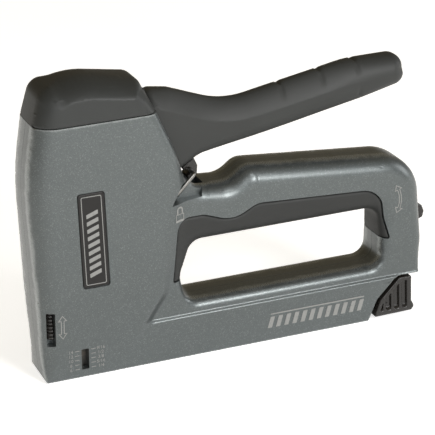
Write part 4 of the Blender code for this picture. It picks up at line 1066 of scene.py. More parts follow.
@dataclass
class TopCap:
    """Plastic cap over the head: a faceted dome with an open underside."""

    shape: HousingShape
    top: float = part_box("top_cap")[1].z / MM
    shoulder: float = 5.6
    wall: float = 3.0
    crown: float = 8.4
    slot_height: float = 9.6
    facet: float = 0.3
    edge_line: float = 0.28
    step: float = 0.9

    def outline(self) -> Outline:
        """Outline of the cap in the profile."""
        front, rear = self.shape.head_front_top, self.shape.head_rear_top
        base = self.shape.head_top + GAP
        return Outline.filleted([
            (front, base, 0, 10, 9.5), (rear, base, 0, 5, 4),
            (rear - 5, self.top - 6.4, 5, 7, 12.5), (24, self.top - 0.9, 60, 7.5, 15.5),
            (front + 4.4, self.top - 5.2, 8, 9, 11)], 1.0)

    def build(self) -> bpy.types.Object:
        """Builds the cap and dresses it."""
        s, outline = self.shape, self.outline()
        low_edge = outline.rows[:, 1] < s.head_top + 2 * GAP
        skirt = Outline(outline.rows.copy())
        skirt.rows[low_edge, 1] -= 2 * s.cap_height
        front, rear, base = s.head_front_top, s.head_rear_top, s.head_top
        room = Outline.filleted([
            (front + self.wall, base - 2, 0), (rear - self.wall - 1.2, base - 2, 0),
            (rear - 7.6, self.top - self.crown, 2), (front + 6.4, self.top - self.crown, 2)], 3)
        slot = Outline.box((rear - 12, rear + 4), (base - 2, base + self.slot_height), 0, 1.5, 2)

        def heights(x: Array, z: Array) -> Array:
            """Middle plane, room wall, slot wall and outer side."""
            bent = self.facet * smooth(base + 5.0, base + 11.0, z) * smooth(front, front + 18, x)
            side = s.head_half - skirt.fall(x, z, bent)
            line = self.edge_line * np.exp(-((z - base - 0.25) / 0.22) ** 2)
            flat = np.ones_like(side)
            return np.stack([0 * flat, (s.head_half - self.shoulder) * flat,
                             s.lever_slot_half * flat, side - line])

        def region(x: Array, z: Array) -> tuple[Array, Array]:
            """The room and the lever's slot lie inside the shell."""
            within = outline.inside(x, z)
            low = np.where(slot.inside(x, z), 2, 0)
            low = np.where(room.inside(x, z), 1, low)
            return np.where(within, low, -1), np.where(within, 3, -1)

        extra = np.vstack([outline.rings(14), lattice((2, rear), (base, self.top), self.step)])
        points, faces = mirrored(*Slab([outline, room, slot], region, heights, extra, 0.2).build())
        wear = np.exp(-np.abs(outline.nearest(points[:, 0], points[:, 2])[0] - 6.5) / 1.2)
        wear *= (points[:, 2] > base + 2) & (np.abs(points[:, 1]) > s.head_half - self.shoulder)
        return make_piece("domed_cap", points, faces, Finish.CAP.material(), "housing",
                          ["top_cap"], 55.0, 0.6 * wear)


@dataclass
class GripInsert:
    """Rubber channel that lines the top, front and rear of the finger opening."""

    face: HousingSide
    roll: float = 1.6
    drop: float = 0.9
    step: float = 1.0

    def build(self) -> bpy.types.Object:
        """Builds the insert and dresses it."""
        outline = self.face.insert.moved(GAP)
        outline.rows[:, 2:] = self.roll, self.drop
        opening = self.face.opening

        def heights(x: Array, z: Array) -> Array:
            """Middle plane, and the housing's side with the insert's own rounded edge."""
            side = self.face.height(x, z) - outline.fall(x, z)
            return np.stack([np.zeros_like(side), side])

        extra = np.vstack([outline.rings(6), opening.rings(14, inward=False),
                           lattice((60, 166), (36, 68), self.step)])
        region = plain_region([outline], [opening])
        points, faces = mirrored(*Slab([outline, opening], region, heights, extra, 0.2).build())
        wear = np.exp(-outline.nearest(points[:, 0], points[:, 2])[0] / 1.0)
        return make_piece("rubber_grip", points, faces, Finish.RUBBER.material(), "housing",
                          ["grip_insert"], 40.0, 0.4 * wear)


@dataclass
class LeverHandle:
    """Hand lever with three cross grooves, a front arm and a fork for the roller."""

    half: float = 8.6
    arm_half: float = 4.6
    tail: tuple[float, float] = (176.4, 115.0)
    throat: tuple[float, float] = (66.4, 87.0)
    roller: tuple[float, float] = (15.5, 90.0)
    roller_r: float = 3.4
    roller_half: float = 1.7
    pin_r: float = 2.6
    rivet_r: float = 1.3
    groove_x: tuple[float, ...] = (117.6, 136.6, 153.4)
    groove_depth: float = 1.15
    groove_width: float = 1.0
    groove_reach: float = 2.4
    dent: float = 0.55
    waist: float = 0.9
    arm_nose: float = 2.3
    step: float = 1.0

    def outline(self) -> Outline:
        """Outline of the whole lever without its grooves."""
        (px, pz), (tx, tz), (rx, rz) = pivot_of("lever_squeeze"), self.tail, self.roller
        half = self.arm_nose
        return Outline.filleted([
            (rx - half, rz - half, 2, 0.6, 0.4), (px - 8, pz - 6.6, 6, 0.8, 0.6),
            (px + 4, pz - 9, 6, 0.8, 0.6), (*self.throat, 2, 1.4, 1), (78, 92.6, 16, 3, 2),
            (118, 99.2, 60, 5, 3.2), (156, 106.3, 60, 6, 3.6), (tx - 0.6, tz - 4.6, 5.5, 6, 5),
            (tx + 0.4, tz + 8.2, 8, 8, 7.4), (150, 123.4, 60, 9.5, 7.8),
            (92, 113.2, 40, 9, 7.6), (66, 122.9, 12, 8.5, 7.4), (55.8, 124, 4, 7, 6.6),
            (px - 6, pz + 13, 8, 1, 0.8), (px - 7.6, pz + 2, 5, 0.8, 0.6),
            (rx - half, rz + half, 2, 0.6, 0.4)], 0.6)

    def notched(self, outline: Outline) -> Outline:
        """The outline with the notch that each groove makes in its top edge."""
        rows = outline.rows.copy()
        top = (rows[:, 1] > 111) & (rows[:, 0] > 100) & (rows[:, 0] < 170)
        notch = sum(self.groove_depth * np.exp(-((rows[:, 0] - place) / self.groove_width) ** 2)
                    for place in self.groove_x)
        rows[:, 1] -= np.where(top, notch, 0)
        return Outline(rows)

    def build(self) -> bpy.types.Object:
        """Builds the lever and dresses it."""
        plain = self.outline()
        outline = self.notched(plain)
        px, pz = pivot_of("lever_squeeze")
        hub = Outline.circle((px, pz), self.pin_r, 40)
        eye = Outline.circle(self.roller, self.rivet_r, 24)
        arm = Outline.box((0, px - 9.5), (pz - 30, pz + 30), 0, 0, 4)
        rx, rz = self.roller
        fork = Outline.box((rx - 6, rx + self.roller_r + 1.2), (rz - 8, rz + 8), 0, 0, 3)

        def heights(x: Array, z: Array) -> Array:
            """Middle plane, fork cheek, arm side and the waisted grip's side."""
            waist = self.waist * smooth(110.0, 80.0, x) * smooth(60.0, 80.0, x)
            side = self.half - waist - plain.fall(x, z, 0.45 * smooth(165.0, 130.0, x))
            upper = smooth(8.0, 2.0, plain.nearest(x, z)[0]) * (z > 108) * (x > 100)
            for place in self.groove_x:
                side -= self.dent * upper * np.exp(-((x - place) / self.groove_width) ** 2)
            flat = np.ones_like(side)
            return np.stack([0 * flat, (self.roller_half + GAP) * flat, self.arm_half * flat,
                             np.maximum(side, 0.3)])

        def region(x: Array, z: Array) -> tuple[Array, Array]:
            """The arm is thinner than the grip, and the pin holes are open."""
            within = outline.inside(x, z) & ~hub.inside(x, z) & ~eye.inside(x, z)
            low = np.where(fork.inside(x, z), 1, 0)
            high = np.where(arm.inside(x, z), 2, 3)
            return np.where(within, low, -1), np.where(within, high, -1)

        reach = self.groove_reach
        grooves = np.vstack([lattice((place - reach, place + reach), (106, 123), 0.45)
                             for place in self.groove_x])
        even = lattice((46, 178), (84, 126), self.step)
        for place in self.groove_x:
            even = even[(np.abs(even[:, 0] - place) > reach) | (even[:, 1] < 106)]
        extra = np.vstack([plain.rings(11), even, grooves])
        loops = [outline, hub, eye, arm, fork]
        points, faces = mirrored(*Slab(loops, region, heights, extra, 0.22).build())
        near = outline.nearest(points[:, 0], points[:, 2])[0]
        wear = np.exp(-np.abs(near - 1.5) / 2.0) * (points[:, 0] > px + 6)
        return make_piece("squeeze_lever", points, faces, Finish.CHARCOAL.material(), "lever",
                          ["lever_handle"], 50.0, 0.35 * wear)


# ---- Small parts ----

@dataclass
class EndCap:
    """Ribbed plastic cap on the magazine's rear end."""

    shape: HousingShape
    front: float = 156.4
    rear: float = 176.0
    half: float = 12.6
    depth: float = 1.5
    ribs: tuple[float, ...] = (162.2, 166.3, 170.3, 174.3)
    rib_half: float = 1.0
    rail: tuple[float, float, float] = (4.9, 2.7, 14.9)
    socket_end: float = 158.3
    rod_r: float = 1.4
    rod_z: float = 8.6
    rod_end: float = 164.4

    def outline(self) -> Outline:
        """Outline with a lip at the rear of its foot."""
        top = self.shape.cutout_top - 1.2
        return Outline.filleted([
            (self.front + 0.6, 1.4, 0.6, 0.9, 0.6), (self.rear, 1.4, 1.0, 1.6, 1.2),
            (self.rear + 1.6, 3.4, 1.6, 1.6, 1.2), (self.rear, 6.4, 1.2, 1.4, 1.0),
            (self.rear, top, 1.0, 1.0, 0.7), (self.shape.cutout_rear + 1.4, top, 1.0, 1, 0.7),
            (self.shape.base_rear + 5.8, 9.4, 5.0, 0.9, 0.6)], 0.5)

    def build(self) -> bpy.types.Object:
        """Builds the cap with rounded upright ribs in a sunk panel."""
        outline = self.outline()
        panel = outline.moved(1.5)
        panel.rows[:, 2:] = 0.0
        socket = Outline.box((self.front - 10, self.socket_end), self.rail[1:], 0, 0, 2)
        rod = Outline.box((self.front, self.rod_end), (self.rod_z - self.rod_r,
                                                       self.rod_z + self.rod_r), 0, 0, 2)

        def heights(x: Array, z: Array) -> Array:
            """Middle plane, rail socket and ribbed side."""
            away = np.min([np.abs(x - place) for place in self.ribs], axis=0)
            rib = np.sqrt(np.clip(1 - (away / self.rib_half) ** 2, 0, 1))
            base = smooth(3.4, 5.2, z)
            inner = smooth(0.2, 0.7, np.where(panel.inside(x, z), panel.nearest(x, z)[0], 0))
            side = self.half - outline.fall(x, z) - self.depth * inner * (1 - rib) * base
            flat = np.ones_like(side)
            return np.stack([0 * flat, self.rail[0] * flat, self.rod_r * flat, side])

        def region(x: Array, z: Array) -> tuple[Array, Array]:
            """The rail's socket is open inside."""
            within = outline.inside(x, z)
            low = np.where(rod.inside(x, z), 2, 0)
            low = np.where(socket.inside(x, z), 1, low)
            return np.where(within, low, -1), np.where(within, 3, -1)

        extra = np.vstack([outline.rings(6), panel.rings(1),
                           lattice((self.front, self.rear), (1.4, 20), 0.24)])
        points, faces = mirrored(*Slab([outline, socket, rod], region, heights, extra,
                                       0.12).build())
        wear = smooth(self.half - 0.9, self.half, np.abs(points[:, 1]))
        return make_piece("ribbed_end_cap", points, faces, Finish.BLACK.material(), "magazine",
                          ["magazine_end_cap"], 50.0, 0.5 * wear)


@dataclass
class Selector:
    """Knurled slider in the recess at the side of the nose."""

    half_from: HousingHalf
    ribs: int = 8
    length: float = 13.6
    slope: float = 0.55
    tooth: float = 0.825
    arch: float = 0.2
    step: float = 0.17

    def build(self) -> bpy.types.Object:
        """Builds the slider, whose teeth are a rounded wave along its height."""
        xs = self.half_from.selector_x
        floor = self.half_from.selector_floor + GAP
        top = self.half_from.selector_z[1] - GAP
        outline = Outline.box((xs[0] + GAP, xs[1] - GAP), (top - self.length, top), 0, 0.4, 0.2)
        outline.rows[:, 2:] = 0.4, 0.35
        pitch = self.length / self.ribs

        def heights(x: Array, z: Array) -> Array:
            """Flat back and toothed face."""
            wave = np.abs(np.sin(math.pi * (top - z) / pitch)) ** 0.7
            arch = self.arch * (1 - ((x - sum(xs) / 2) / 1.6) ** 2)
            face = (floor + 0.35 + self.slope * (x - xs[0]) + self.tooth * wave + arch
                    - outline.fall(x, z))
            return np.stack([np.full_like(x, floor), face])

        extra = lattice(xs, (top - self.length, top), self.step)
        points, faces = Slab([outline], plain_region([outline]), heights, extra, 0.1).build()
        points[:, 1] *= -1
        wear = 0.9 * np.abs(np.sin(math.pi * (top - points[:, 2]) / pitch)) ** 3
        return make_piece("knurled_selector", points, faces, Finish.BLACK.material(), "selector",
                          ["power_selector"], 40.0, wear)


@dataclass
class EdgedPlate:
    """Small block of one outline with rounded edges, centred on the parting plane."""

    name: str
    node: str
    body: str
    half: float
    corners: Sequence[Corner]
    finish: Finish = Finish.BLACK
    slot: str = "black_plastic"
    holes: Sequence[tuple[float, float, float]] = ()

    @classmethod
    def hook(cls) -> "EdgedPlate":
        """Hook under the lever, curled round the place where the bail catches."""
        points = [(69.9, 86.7, 0.4), (70.9, 84.9, 0.4), (71.9, 85.9, 0.4), (73.2, 85.8, 0.6),
                  (74.1, 84.7, 0.6), (73.7, 83.2, 0.5), (72.2, 82.4, 0.5), (72.2, 81.0, 0.6),
                  (74.4, 80.2, 0.9), (76.7, 82.2, 1.5), (77.2, 86.6, 2.0), (75.6, 90.4, 0.7)]
        return cls("lock_hook_block", "lock_hook", "lever", 4.2,
                   [(*point, 0.9, 0.7) for point in points])

    @classmethod
    def latch(cls) -> "EdgedPlate":
        """Thumb latch that holds the magazine's rear end, thicker towards its tip."""
        stem = [(172.4, 44.4, 1.0), (180.6, 42.9, 0.6)]
        tip = [(183.4, 41.9, 1.0, 1.2, 0.8), (186.2, 42.8, 1.2, 1.4, 1.0),
               (187.0, 45.6, 1.2, 1.4, 1.0), (186.0, 48.6, 1.6, 1.4, 1.0),
               (180.5, 52.2, 1.6, 1.2, 0.8), (172.4, 50.6, 1.0, 0.8, 0.6)]
        return cls("thumb_latch", "rear_latch", "latch", 3.6,
                   [*[(*point, 0.8, 0.6) for point in stem], *tip],
                   holes=[(*pivot_of("latch_turn"), 1.6)])

    def build(self) -> bpy.types.Object:
        """Builds the block and dresses it."""
        outline = Outline.filleted(self.corners, 0.4)
        bores = [Outline.circle(hole[:2], hole[2], 24) for hole in self.holes]

        def heights(x: Array, z: Array) -> Array:
            """Middle plane and rounded side."""
            side = self.half - outline.fall(x, z)
            return np.stack([0 * side, side])

        box = outline.rows[:, :2]
        extra = np.vstack([outline.rings(7), lattice((box[:, 0].min(), box[:, 0].max()),
                                                     (box[:, 1].min(), box[:, 1].max()), 0.5)])
        region = plain_region([outline], bores)
        points, faces = mirrored(*Slab([outline, *bores], region, heights, extra, 0.12).build())
        wear = np.exp(-np.abs(outline.nearest(points[:, 0], points[:, 2])[0] - 0.6) / 0.4)
        return make_piece(self.name, points, faces, self.finish.material(), self.body,
                          [self.node], 50.0, 0.6 * wear)


@dataclass
class LockBail:
    """Spring-wire clip: an axle through the housing and a leg each side that ends in a catch."""

    top: tuple[float, float] = (73.4, 85.1)
    radius: float = 0.95
    half: float = 10.2
    catch: float = 5.1
    bend: float = 1.2

    def build(self) -> bpy.types.Object:
        """Sweeps the wire along its rounded path."""
        (x0, z0), (x1, z1) = pivot_of("bail_swing"), self.top
        length = math.hypot(x1 - x0, z1 - z0)
        ux, uz = (x1 - x0) / length, (z1 - z0) / length
        turn = np.linspace(0.0, math.pi / 2, 13)
        back = self.bend * (1 - np.cos(turn))
        out = self.half - self.bend * (1 - np.sin(turn))
        upper = np.stack([x1 - ux * back, out, z1 - uz * back], 1)
        lower = np.stack([x0 + ux * back[::-1], out[::-1], z0 + uz * back[::-1]], 1)
        start = np.linspace(self.catch, self.half - self.bend, 6)[:-1]
        tip = np.stack([np.full(5, x1), start, np.full(5, z1)], 1)
        leg = np.linspace(upper[-1], lower[0], 12)[1:-1]
        half = np.vstack([tip, upper, leg, lower])
        axle = np.linspace(half[-1], half[-1] * (1, -1, 1), 14)[1:-1]
        path = np.vstack([half, axle, half[::-1] * (1, -1, 1)])
        points, faces = swept(path, self.radius, 20)
        return make_piece("wire_bail", points, faces, Finish.WIRE.material(), "bail",
                          ["lock_bail"], 40.0)


# ---- Label, marks and screws ----

def arrow_outline(centre: Sequence[float], radius: float, reach: float, shaft: float = 0.75,
                  head: float = 2.0, head_length: float = 2.6) -> Outline:
    """Double arrow bent along an arc, or straight when the radius is large.

    Args:
        centre: the middle of the arc's chord line, as x and z, that is the arrow's mid point.
        radius: of the arc, whose centre lies in front of the mid point.
        reach: half of the arrow's length along the arc.
        shaft: half width of the shaft.
        head: half width of the heads.
        head_length: length of each head.
    """
    neck = reach - head_length
    along = np.linspace(-neck, neck, 15)
    steps = [(-reach, 0.0), (-neck, head), *[(s, shaft) for s in along], (neck, head),
             (reach, 0.0), (neck, -head), *[(s, -shaft) for s in along[::-1]], (-neck, -head)]
    angle = np.array([s for s, _ in steps]) / radius
    distance = radius + np.array([w for _, w in steps])
    x = centre[0] - radius + distance * np.cos(angle)
    z = centre[1] + distance * np.sin(angle)
    rows = np.stack([x, z], 1)
    if np.sum(rows[:, 0] * np.roll(rows[:, 1], -1) - rows[:, 1] * np.roll(rows[:, 0], -1)) < 0:
        rows = rows[::-1]
    return Outline(Outline.divided(rows, 0.8))


def slanted(x: float, z: float, width: float, height: float, lean: float) -> Outline:
    """Slanted bar from its lower left corner."""
    return Outline.filleted([(x, z, 0.2), (x + width, z, 0.2), (x + width + lean, z + height, 0.2),
                             (x + lean, z + height, 0.2)], 1.0)


@dataclass
class Mark:
    """Thin solid mark on the housing's side, bounded by loops that are filled or cut out."""

    name: str
    face: HousingSide
    filled: list[Outline]
    cut: list[Outline] = field(default_factory=list)
    base: float = PRINT_BASE
    lift: float = PRINT_LIFT

    def build(self) -> bpy.types.Object:
        """Builds the mark and lays it on the left side."""
        def heights(x: Array, z: Array) -> Array:
            """The mark's back and its face."""
            surface = self.face.height(x, z)
            return np.stack([surface + self.base, surface + self.lift])

        region = plain_region(self.filled, self.cut)
        points, faces = Slab(self.filled + self.cut, region, heights, cell=0.02).build()
        points[:, 1] *= Side.LEFT.value
        return make_piece(self.name, points, faces, Finish.MARK.material(), "housing",
                          (), 40.0)


def letter_faces(text: str, size: float) -> tuple[Array, Array]:
    """Flat triangles of a line of text, centred on x = 0 and standing on z = 0.

    Args:
        text: the line.
        size: the height of a line of text in millimetres.

    Returns:
        Points as rows of x and z, and triangles as rows of point numbers.
    """
    curve = bpy.data.curves.new("numbers", "FONT")
    curve.body = text
    curve.align_x = "CENTER"
    curve.size = size
    curve.resolution_u = 3
    holder = bpy.data.objects.new("numbers", curve)
    bpy.context.scene.collection.objects.link(holder)
    graph = bpy.context.evaluated_depsgraph_get()
    mesh = bpy.data.meshes.new_from_object(holder.evaluated_get(graph))
    bm = bmesh.new()
    bm.from_mesh(mesh)
    bmesh.ops.remove_doubles(bm, verts=bm.verts, dist=1e-5)
    bmesh.ops.triangulate(bm, faces=bm.faces)
    bm.verts.index_update()
    flat = np.array([v.co[:2] for v in bm.verts])
    faces = np.array([[v.index for v in f.verts] for f in bm.faces])
    bm.free()
    bpy.data.objects.remove(holder)
    bpy.data.curves.remove(curve)
    bpy.data.meshes.remove(mesh)
    return flat, faces


def digits(name: str, face: HousingSide, rows: Sequence[tuple[str, float, float]],
           size: float) -> bpy.types.Object:
    """Raised numbers on the left side: each text's faces twice, with a wall round its rim.

    Args:
        name: the piece's name.
        face: the housing's side.
        rows: each text with the x of its middle and the z of its foot.
        size: the height of a line of text in millimetres.

    Returns:
        The linked object.
    """
    all_points: list[Array] = []
    all_faces: list[Array] = []
    start = 0
    for text, middle, foot in rows:
        flat, faces = letter_faces(text, size)
        x, z = middle + flat[:, 0], foot + flat[:, 1]
        surface = face.height(x, z)
        count = len(flat)
        ends = np.vstack([faces[:, [0, 1]], faces[:, [1, 2]], faces[:, [2, 0]]])
        _, back, times = np.unique(np.sort(ends, axis=1), axis=0, return_inverse=True,
                                   return_counts=True)
        rim = ends[times[back.reshape(-1)] == 1]
        walls = np.vstack([np.column_stack([rim[:, 0], rim[:, 1], rim[:, 1] + count]),
                           np.column_stack([rim[:, 0], rim[:, 1] + count, rim[:, 0] + count])])
        all_points += [np.column_stack([x, -(surface + PRINT_BASE), z]),
                       np.column_stack([x, -(surface + PRINT_LIFT), z])]
        all_faces += [start + faces[:, ::-1], start + faces + count, start + walls]
        start += 2 * count
    return make_piece(name, np.vstack(all_points), np.vstack(all_faces), Finish.MARK.material(),
                      "housing", (), 40.0)


@dataclass
class SideLabel:
    """Long dark plate in its pocket, with a plain frame line and slanted bars printed on it."""

    half_from: HousingHalf
    thick: float = 0.5
    sunk: float = 0.05
    corner: float = 1.2
    margin: float = 1.3
    line: float = 0.35
    bars: int = 9
    bar_width: float = 5.2
    bar_rise: float = 1.9

    def build(self) -> list[bpy.types.Object]:
        """Builds the plate and its print."""
        half = self.half_from
        side = half.face
        outline = Outline.box(half.label_x, half.label_z, 0, self.corner, 0.6)
        outline.rows[:, 2:] = 0.5, 0.3

        def heights(x: Array, z: Array) -> Array:
            """The plate's back and its face with a rounded edge."""
            surface = side.height(x, z)
            return np.stack([surface - self.thick, surface - self.sunk - outline.fall(x, z)])

        extra = np.vstack([outline.rings(4), lattice(half.label_x, half.label_z, 1.0)])
        points, faces = Slab([outline], plain_region([outline]), heights, extra, 0.1).build()
        points[:, 1] *= Side.LEFT.value
        plate = make_piece("side_label", points, faces, Finish.LABEL.material(), "housing",
                           ["label_plate"], 40.0)
        frame = Outline.box(half.label_x, half.label_z, -self.margin, 0.8, 0.8)
        low, high = half.label_z[0] + 4.6, half.label_z[1] - 8.0
        left, pitch = half.label_x[0] + 3.3, (high - low) / self.bars
        right, tall = left + self.bar_width, 0.55 * pitch
        bars = [Outline.filleted([(left, z, 0.2), (right, z + self.bar_rise, 0.2),
                                  (right, z + self.bar_rise + tall, 0.2), (left, z + tall, 0.2)],
                                 1.0)
                for z in low + pitch * np.arange(self.bars)]
        # The plate's face lies below the housing's surface, so its print starts there too.
        base, lift = -PRINT_BASE, 1.5 * PRINT_BASE
        frame_line = Mark("side_label_frame", side, [frame], [frame.moved(self.line)], base, lift)
        bar_rows = Mark("side_label_bars", side, bars, [], base, lift)
        return [plate, frame_line.build(), bar_rows.build()]


@dataclass
class SideMarks:
    """Scale, arrows, lock sign and slanted bars on the left side."""

    half_from: HousingHalf
    line: float = 0.38
    size: float = 2.2
    left_numbers: tuple[str, ...] = ("6", "8", "10", "12", "14")
    right_numbers: tuple[str, ...] = ("1/4", "5/16", "3/8", "1/2", "9/16")
    tick: tuple[float, float] = (1.0, 3.0)
    tick_foot: float = 0.55
    tick_line: float = 0.35
    lock_x: tuple[float, float] = (62.0, 66.4)
    lock_z: tuple[float, float] = (66.0, 69.8)
    bar_x: tuple[float, float] = (104.0, 148.0)
    bars: int = 12

    def scale(self) -> None:
        """Numbers and ticks on both sides of the window."""
        half = self.half_from
        (x0, x1), (z0, z1) = half.window_x, half.window_z
        near, far = self.tick
        levels = np.linspace(z0 - 0.2, z1 - 1.2, len(self.left_numbers))
        foot, head = self.tick_foot, self.tick_foot + self.tick_line
        ticks = [Outline.box(xs, (z + foot, z + head), 0, 0, 1)
                 for z in levels for xs in ((x0 - far, x0 - near), (x1 + near, x1 + far))]
        Mark("scale_ticks", half.face, ticks).build()
        digits("scale_numbers", half.face,
               [(t, x0 - 4.9, z) for t, z in zip(self.left_numbers, levels)]
               + [(t, x1 + 5.4, z) for t, z in zip(self.right_numbers, levels)], self.size)

    def arrows(self) -> None:
        """Hollow double arrows beside the selector and the latch."""
        face = self.half_from.face
        straight = arrow_outline((8.0, 27.4), 4000.0, 6.0, 0.8, 2.1, 3.0)
        Mark("selector_arrow", face, [straight], [straight.moved(self.line)]).build()
        curved = arrow_outline((170.3, 58.0), 12.0, 7.2, 0.7, 2.0, 2.8)
        Mark("latch_arrow", face, [curved], [curved.moved(self.line)]).build()

    def lock_sign(self) -> None:
        """Closed padlock below the bail: case, foot line and shackle."""
        face, (x0, x1), (z0, z1) = self.half_from.face, self.lock_x, self.lock_z
        case = Outline.box(self.lock_x, self.lock_z, 0, 0.4, 0.6)
        foot = Outline.box((x0 + 0.4, x1 - 0.4), (z0 + 0.35, z0 + 1.0), 0, 0, 0.8)
        Mark("lock_sign_body", face, [case], [case.moved(0.35)]).build()
        Mark("lock_sign_foot", face, [foot]).build()
        outer, inner = [
            Outline.filleted([(x0 + inset, foot_z, 0), (x1 - inset, foot_z, 0),
                              (x1 - inset, top, r), (x0 + inset, top, r)], 0.5)
            for inset, foot_z, top, r in ((0.6, z1 + 0.1, z1 + 3.4, 1.6),
                                          (1.3, z1 - 0.3, z1 + 2.7, 0.9))]
        Mark("lock_sign_shackle", face, [outer], [inner]).build()

    def build(self) -> None:
        """Lays every mark."""
        self.scale()
        self.arrows()
        self.lock_sign()
        face = self.half_from.face
        xs = np.linspace(*self.bar_x, self.bars)
        Mark("side_bars", face, [slanted(x, 6.6, 2.1, 5.4, 1.6) for x in xs]).build()
        Mark("side_line", face, [slanted(self.bar_x[0] + 1.6, 13.0, 46.0, 0.6, 0.2)]).build()


@dataclass
class PanScrew:
    """Pan-head screw with a cross recess; its head faces the right side."""

    key: str
    place: tuple[float, float]
    face: HousingSide
    head_r: float = 3.0
    shank_r: float = 1.5
    head_depth: float = 1.8
    seat_depth: float = 2.8
    bore_floor: float = 3.0
    flat_r: float = 2.3
    crown: float = 0.25
    recess: float = 1.1
    recess_half: float = 0.52
    recess_reach: float = 1.8
    pitch: float = 0.8
    thread: float = 0.16
    sides: int = 72

    def build(self) -> bpy.types.Object:
        """Builds the screw as a grid round its axis, from the middle of the head to the tip."""
        surface = self.face.at(*self.place)
        seat = surface - self.seat_depth + GAP
        top = seat + self.head_depth
        low = -(surface - self.bore_floor - GAP)
        radii = np.concatenate([np.linspace(0.04, self.flat_r, 16), self.head_r - 0.5
                                + 0.5 * np.sin(np.linspace(0.1, math.pi / 2, 7))])
        share = np.clip((radii - self.flat_r) / (self.head_r - self.flat_r), 0, 1)
        head = (top - self.crown * (radii / self.head_r) ** 2
                - self.head_depth / 2 * (1 - np.sqrt(1 - share * share)))
        turns = np.linspace(seat - 0.2, low + 2.0, 90)
        thread = self.shank_r - self.thread * (0.5 + 0.5 * np.cos(
            2 * math.pi * (turns - seat) / self.pitch)) * smooth(seat, seat - 1.0, turns)
        radius = np.concatenate([radii, [self.head_r, self.shank_r], thread,
                                 [self.shank_r * 0.8, self.shank_r * 0.3, 0.04]])
        height = np.concatenate([head, [seat, seat], turns, [low + 1.0, low + 0.15, low]])
        angle = np.arange(self.sides) * 2 * math.pi / self.sides
        u, v = radius[:, None] * np.cos(angle), radius[:, None] * np.sin(angle)
        arm = np.minimum(np.abs(u), np.abs(v))
        cross = (smooth(self.recess_half + 0.1, self.recess_half - 0.1, arm)
                 * smooth(self.recess_reach + 0.3, self.recess_reach - 0.3,
                          np.maximum(np.abs(u), np.abs(v))))
        on_head = (np.arange(len(radius)) < len(radii))[:, None]
        y = height[:, None] - np.where(on_head, self.recess * cross, 0.0)
        points = np.stack([self.place[0] + u, y, self.place[1] + v], -1).reshape(-1, 3)
        faces = grid_faces(len(radius), self.sides).tolist()
        faces += [list(range(self.sides)),
                  list(range(len(points) - self.sides, len(points)))[::-1]]
        return make_piece("pan_screw_" + self.key, points, faces, Finish.STEEL.material(),
                          "housing", ["screw_" + self.key], 40.0)


# ---- Setting ----

@dataclass(frozen=True)
class Lamp:
    """Square soft light: its place and its side in metres, and its watts."""

    name: str
    place: tuple[float, float, float]
    size: float
    watts: float


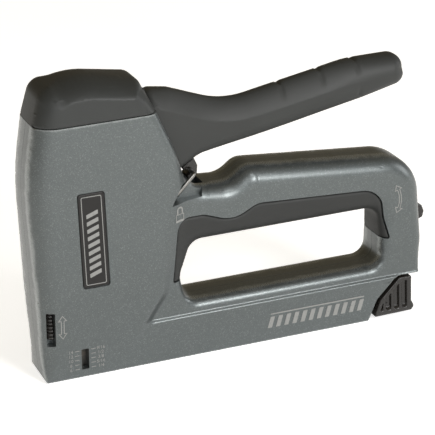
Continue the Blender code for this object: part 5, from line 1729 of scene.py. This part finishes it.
@dataclass(frozen=True)
class Studio:
    """Camera, pale floor and soft lights."""

    azimuth: float = -19.9
    elevation: float = 21.3
    roll: float = -2.48
    distance: float = 0.9
    lens: float = 167.6
    target: tuple[float, float, float] = (86.8, 0.0, 58.9)
    glow: float = 0.72
    dark_side: tuple[float, float, float] = (-0.25, 0.55, 0.8)
    sky: tuple[Rgb, Rgb] = ((0.42, 0.43, 0.44), (0.19, 0.15, 0.082))
    sky_turn: float = 0.55
    sensor: float = 36.0
    floor_half: float = 12.0
    floor_gap: float = 0.0004
    middle: tuple[float, float, float] = (0.0, 0.0, 0.06)
    lamps: tuple[Lamp, ...] = (
        Lamp("key", (0.34, -1.10, 0.56), 0.30, 8.6), Lamp("front", (-0.50, -1.10, 0.50), 0.45, 4.0),
        Lamp("upper", (0.20, -0.80, 0.95), 0.30, 2.2), Lamp("right", (1.2, -0.30, 0.40), 0.5, 3.5))

    def camera(self) -> None:
        """Places the camera from its two angles, its roll and the point it looks at."""
        az, el, roll = (math.radians(a) for a in (self.azimuth, self.elevation, self.roll))
        back = Vector((math.sin(az) * math.cos(el), -math.cos(az) * math.cos(el), math.sin(el)))
        right = Vector((math.cos(az), math.sin(az), 0.0))
        up = back.cross(right)
        across = math.cos(roll) * right + math.sin(roll) * up
        upward = math.cos(roll) * up - math.sin(roll) * right
        data = bpy.data.cameras.new("camera")
        data.lens = self.lens
        data.sensor_width = self.sensor
        data.clip_start = 0.05
        data.clip_end = 50.0
        camera = bpy.data.objects.new("camera", data)
        turn = Matrix((across, upward, back)).transposed().to_4x4()
        place = Vector(to_world(self.target)) + self.distance * back
        camera.matrix_world = Matrix.Translation(place) @ turn
        bpy.context.scene.collection.objects.link(camera)
        bpy.context.scene.camera = camera

    def light(self, lamp: Lamp) -> None:
        """Stands a lamp in its place, turned to the object's middle."""
        data = bpy.data.lights.new(lamp.name, "AREA")
        data.size = lamp.size
        data.energy = lamp.watts
        holder = bpy.data.objects.new(lamp.name, data)
        holder.location = lamp.place
        aim = Vector(self.middle) - Vector(lamp.place)
        holder.rotation_euler = aim.to_track_quat("-Z", "Y").to_euler()
        bpy.context.scene.collection.objects.link(holder)

    def floor(self) -> bpy.types.Object:
        """Large pale floor under the part."""
        half = self.floor_half
        mesh = bpy.data.meshes.new("floor")
        corners = [(-half, -half, 0), (half, -half, 0), (half, half, 0), (-half, half, 0)]
        mesh.from_pydata([Vector(c) for c in corners], [], [(0, 1, 2, 3)])
        graph = Graph("pale_floor")
        mottle = graph.noise(14.0, 3.0)
        color = graph.mix(mottle, (0.90, 0.90, 0.895), (0.93, 0.93, 0.925))
        mesh.materials.append(graph.finish(
            {"Specular IOR Level": 0.1, "Emission Strength": self.glow},
            {"Base Color": color, "Roughness": 0.85 + 0.1 * mottle, "Emission Color": color}))
        floor = bpy.data.objects.new("floor", mesh)
        floor.location.z = -self.floor_gap
        bpy.context.scene.collection.objects.link(floor)
        return floor

    def world(self) -> None:
        """Even sky in front that turns darker and warmer overhead and behind."""
        world = bpy.data.worlds.new("studio")
        world.use_nodes = True
        tree = world.node_tree
        shader = tree.nodes["Background"]
        position = tree.nodes.new("ShaderNodeTexCoord")
        lean = tree.nodes.new("ShaderNodeVectorMath")
        lean.operation = "DOT_PRODUCT"
        lean.inputs[1].default_value = self.dark_side
        ramp = tree.nodes.new("ShaderNodeValToRGB")
        tree.links.new(position.outputs["Generated"], lean.inputs[0])
        tree.links.new(lean.outputs["Value"], ramp.inputs[0])
        tree.links.new(ramp.outputs[0], shader.inputs["Color"])
        for stop, place, color in zip(ramp.color_ramp.elements, (0.0, self.sky_turn), self.sky):
            stop.position = place
            stop.color = (*color, 1.0)
        shader.inputs["Strength"].default_value = 1.0
        bpy.context.scene.world = world

    def build(self) -> None:
        """Sets up the whole studio."""
        self.camera()
        self.floor()
        self.world()
        for lamp in self.lamps:
            self.light(lamp)
        bpy.context.scene.view_settings.view_transform = "Standard"


def dress_frame() -> None:
    """Gives every frame node that still shows a finish of its own."""
    finishes = {
        "pusher": Finish.BLACK, "bumper": Finish.RUBBER, "main_spring": Finish.SPRING,
        "pusher_spring": Finish.SPRING, "lever_bush_left": Finish.BRONZE,
        # The rail, liner and nose guide take the dark steel, which is painted shade inside the
        # housing.
        "lever_bush_right": Finish.BRONZE, "magazine_rail": Finish.DARK_STEEL,
        "magazine_liner": Finish.DARK_STEEL, "nose_guide": Finish.DARK_STEEL,
    }
    for name, node in frame["nodes"].items():
        if node.hide_render:
            continue
        finish = finishes.get(name, Finish.STEEL)
        for place in node.material_slots:
            place.link = "OBJECT"
            place.material = finish.material()


def main() -> None:
    """Builds the pieces in order, then the studio."""
    logging.basicConfig(level=logging.INFO, format="%(message)s")
    field_of_side = HousingSide(HousingShape())
    shape = field_of_side.shape
    halves = {side: HousingHalf(side, field_of_side) for side in Side}
    for half in halves.values():
        half.build()
    TopCap(shape).build()
    GripInsert(field_of_side).build()
    LeverHandle().build()
    EndCap(shape).build()
    Selector(halves[Side.LEFT]).build()
    SideLabel(halves[Side.LEFT]).build()
    SideMarks(halves[Side.LEFT]).build()
    for key, place in SCREW_PLACES.items():
        PanScrew(key, place, field_of_side).build()
    LockBail().build()
    EdgedPlate.hook().build()
    EdgedPlate.latch().build()
    dress_frame()
    Studio().build()


if __name__ == "__main__":
    main()
